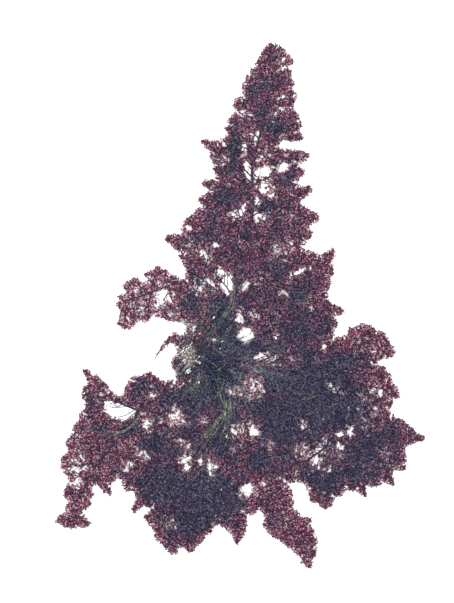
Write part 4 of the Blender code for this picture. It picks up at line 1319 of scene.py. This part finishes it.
def loose_fibre(x, y, half_x, half_y, dice):
    """One stray fibre that leads away from the holdfast over the felt."""
    angle, reach = dice.uniform(0, math.tau), math.sqrt(dice.random())
    start = at((x + math.cos(angle) * reach * half_x, y + math.sin(angle) * reach * half_y))
    away = start - at(LOOSE_SOURCE)
    count = dice.integers(5, 14)
    bends = math.atan2(away[1], away[0]) + dice.normal(0, 0.7)
    bends = bends + np.cumsum(dice.uniform(-0.22, 0.22, count))
    line = start + np.cumsum(np.stack([np.cos(bends), np.sin(bends)], axis=1), axis=0) * MM
    radii = dice.uniform(0.07, 0.13) * MM * np.linspace(1.0, 0.6, count)
    return line, radii, dice.uniform(-0.25, 0.25) * MM


def make_strands(materials, dice):
    """Bundles of bare strands where the photo shows them, and loose fibres between them."""
    strands = {"olive": [], "grey": [], "pale": []}
    for finish, count, spread, thickness, course in STRANDS:
        for _ in range(count):
            own = finish if dice.random() < OWN_FINISH_SHARE else "grey"
            strands[own].append(bundle_strand(course, spread, thickness, dice))
    fibres = [loose_fibre(*patch, dice) for count, *patch in LOOSE_FIBRES for _ in range(count)]
    lines = [line for line, _, _ in fibres]
    for fibre, inside in zip(fibres, split_as(distance_inside(np.vstack(lines)), lines)):
        if inside.min() > FIBRE_INSET:
            strands[dice.choice(("olive", "grey", "grey", "grey"))].append(fibre)
    for finish, own in strands.items():
        material = materials[f"bleached_{finish}_strands"]
        tube_piece(f"bare_strands_{finish}", laid(own), material, [])


def make_shell_sand(material, dice):
    """Grains of broken shell: a few are modelled, and copies of them are set in the rhizoids."""
    kinds = []
    for seed in range(SAND_KINDS):
        deselect_all()
        bpy.ops.mesh.primitive_ico_sphere_add(subdivisions=2, radius=0.5)
        bpy.ops.object.mode_set(mode="EDIT")
        bpy.ops.mesh.select_all(action="SELECT")
        bpy.ops.transform.vertex_random(offset=0.22, uniform=0.3, normal=0.7, seed=seed)
        bpy.ops.object.mode_set(mode="OBJECT")
        kinds.append(bpy.context.object)
    grains = []
    places = at([(x, y) for x, y, _ in SHELL_SAND])
    for index, (place, top) in enumerate(zip(places, top_of_all(places))):
        size = SHELL_SAND[index][2] * PIXEL * SAND_SCALE
        piece = kinds[index % SAND_KINDS].copy()
        piece.data = piece.data.copy()
        piece.scale = (size * 1.5, size * dice.uniform(0.5, 0.8), size * 0.6)
        piece.rotation_euler = (*dice.uniform(-0.4, 0.4, 2), dice.uniform(0.2, 1.2))
        piece.location = (*place, top + size * 0.25 + 0.4 * MM)
        bpy.context.scene.collection.objects.link(piece)
        grains.append(piece)
    for kind in kinds:
        bpy.data.objects.remove(kind, do_unlink=True)
    deselect_all()
    for piece in grains:
        piece.select_set(True)
    sand = grains[0]
    bpy.context.view_layer.objects.active = sand
    bpy.ops.object.join()
    bpy.ops.object.transform_apply(location=True, rotation=True, scale=True)
    sand.name = "holdfast_shell_sand"
    hand_over(sand, material, ["holdfast"])


def make_stage():
    """A plain pale floor, soft light from above and a camera that looks straight down."""
    deselect_all()
    bpy.ops.mesh.primitive_plane_add(size=3.0, location=(0, 0, 0))
    floor = bpy.context.object
    floor.name = "floor"
    # Matt white board: even, without gloss.
    floor.data.materials.append(new_material(
        "matt_white_board", lambda tree, place: linear("#fbfbfa"), 3 * MM, (0.85, 0.95),
        0.02 * MM, {},
    ))

    middle = at((IMAGE_WIDTH / 2, IMAGE_HEIGHT / 2))
    bpy.ops.object.light_add(type="AREA", location=(-0.18, 0.30, 1.2))
    light = bpy.context.object
    light.name = "soft_light"
    light.data.size = 0.9
    light.data.energy = 19
    aim = Vector((*middle, 0)) - light.location
    light.rotation_euler = aim.to_track_quat("-Z", "Y").to_euler()

    world = bpy.data.worlds.new("pale_surround")
    world.use_nodes = True
    world.node_tree.nodes["Background"].inputs["Color"].default_value = (1, 1, 1, 1)
    world.node_tree.nodes["Background"].inputs["Strength"].default_value = 0.65
    bpy.context.scene.world = world

    lens, sensor = 100, 36
    height = IMAGE_HEIGHT * PIXEL * lens / sensor
    bpy.ops.object.camera_add(location=(*middle, height), rotation=(0, 0, 0))
    camera = bpy.context.object
    camera.data.lens = lens
    camera.data.sensor_width = sensor
    bpy.context.scene.camera = camera
    bpy.context.scene.view_settings.view_transform = "Standard"


def main():
    dice = np.random.default_rng(SEED)
    materials = make_materials()
    branches = plan_branches()
    branches += plan_twigs(branches, dice)
    make_felts(Growth(branches), materials["dried_algal_filaments"], dice)
    make_stems(branches, materials["dried_stem_cortex"], dice)
    make_holdfast(materials["felted_rhizoids"])
    make_rhizoids(materials["bleached_rhizoids"], dice)
    make_strands(materials, dice)
    make_shell_sand(materials["shell_sand"], dice)
    make_stage()


main()
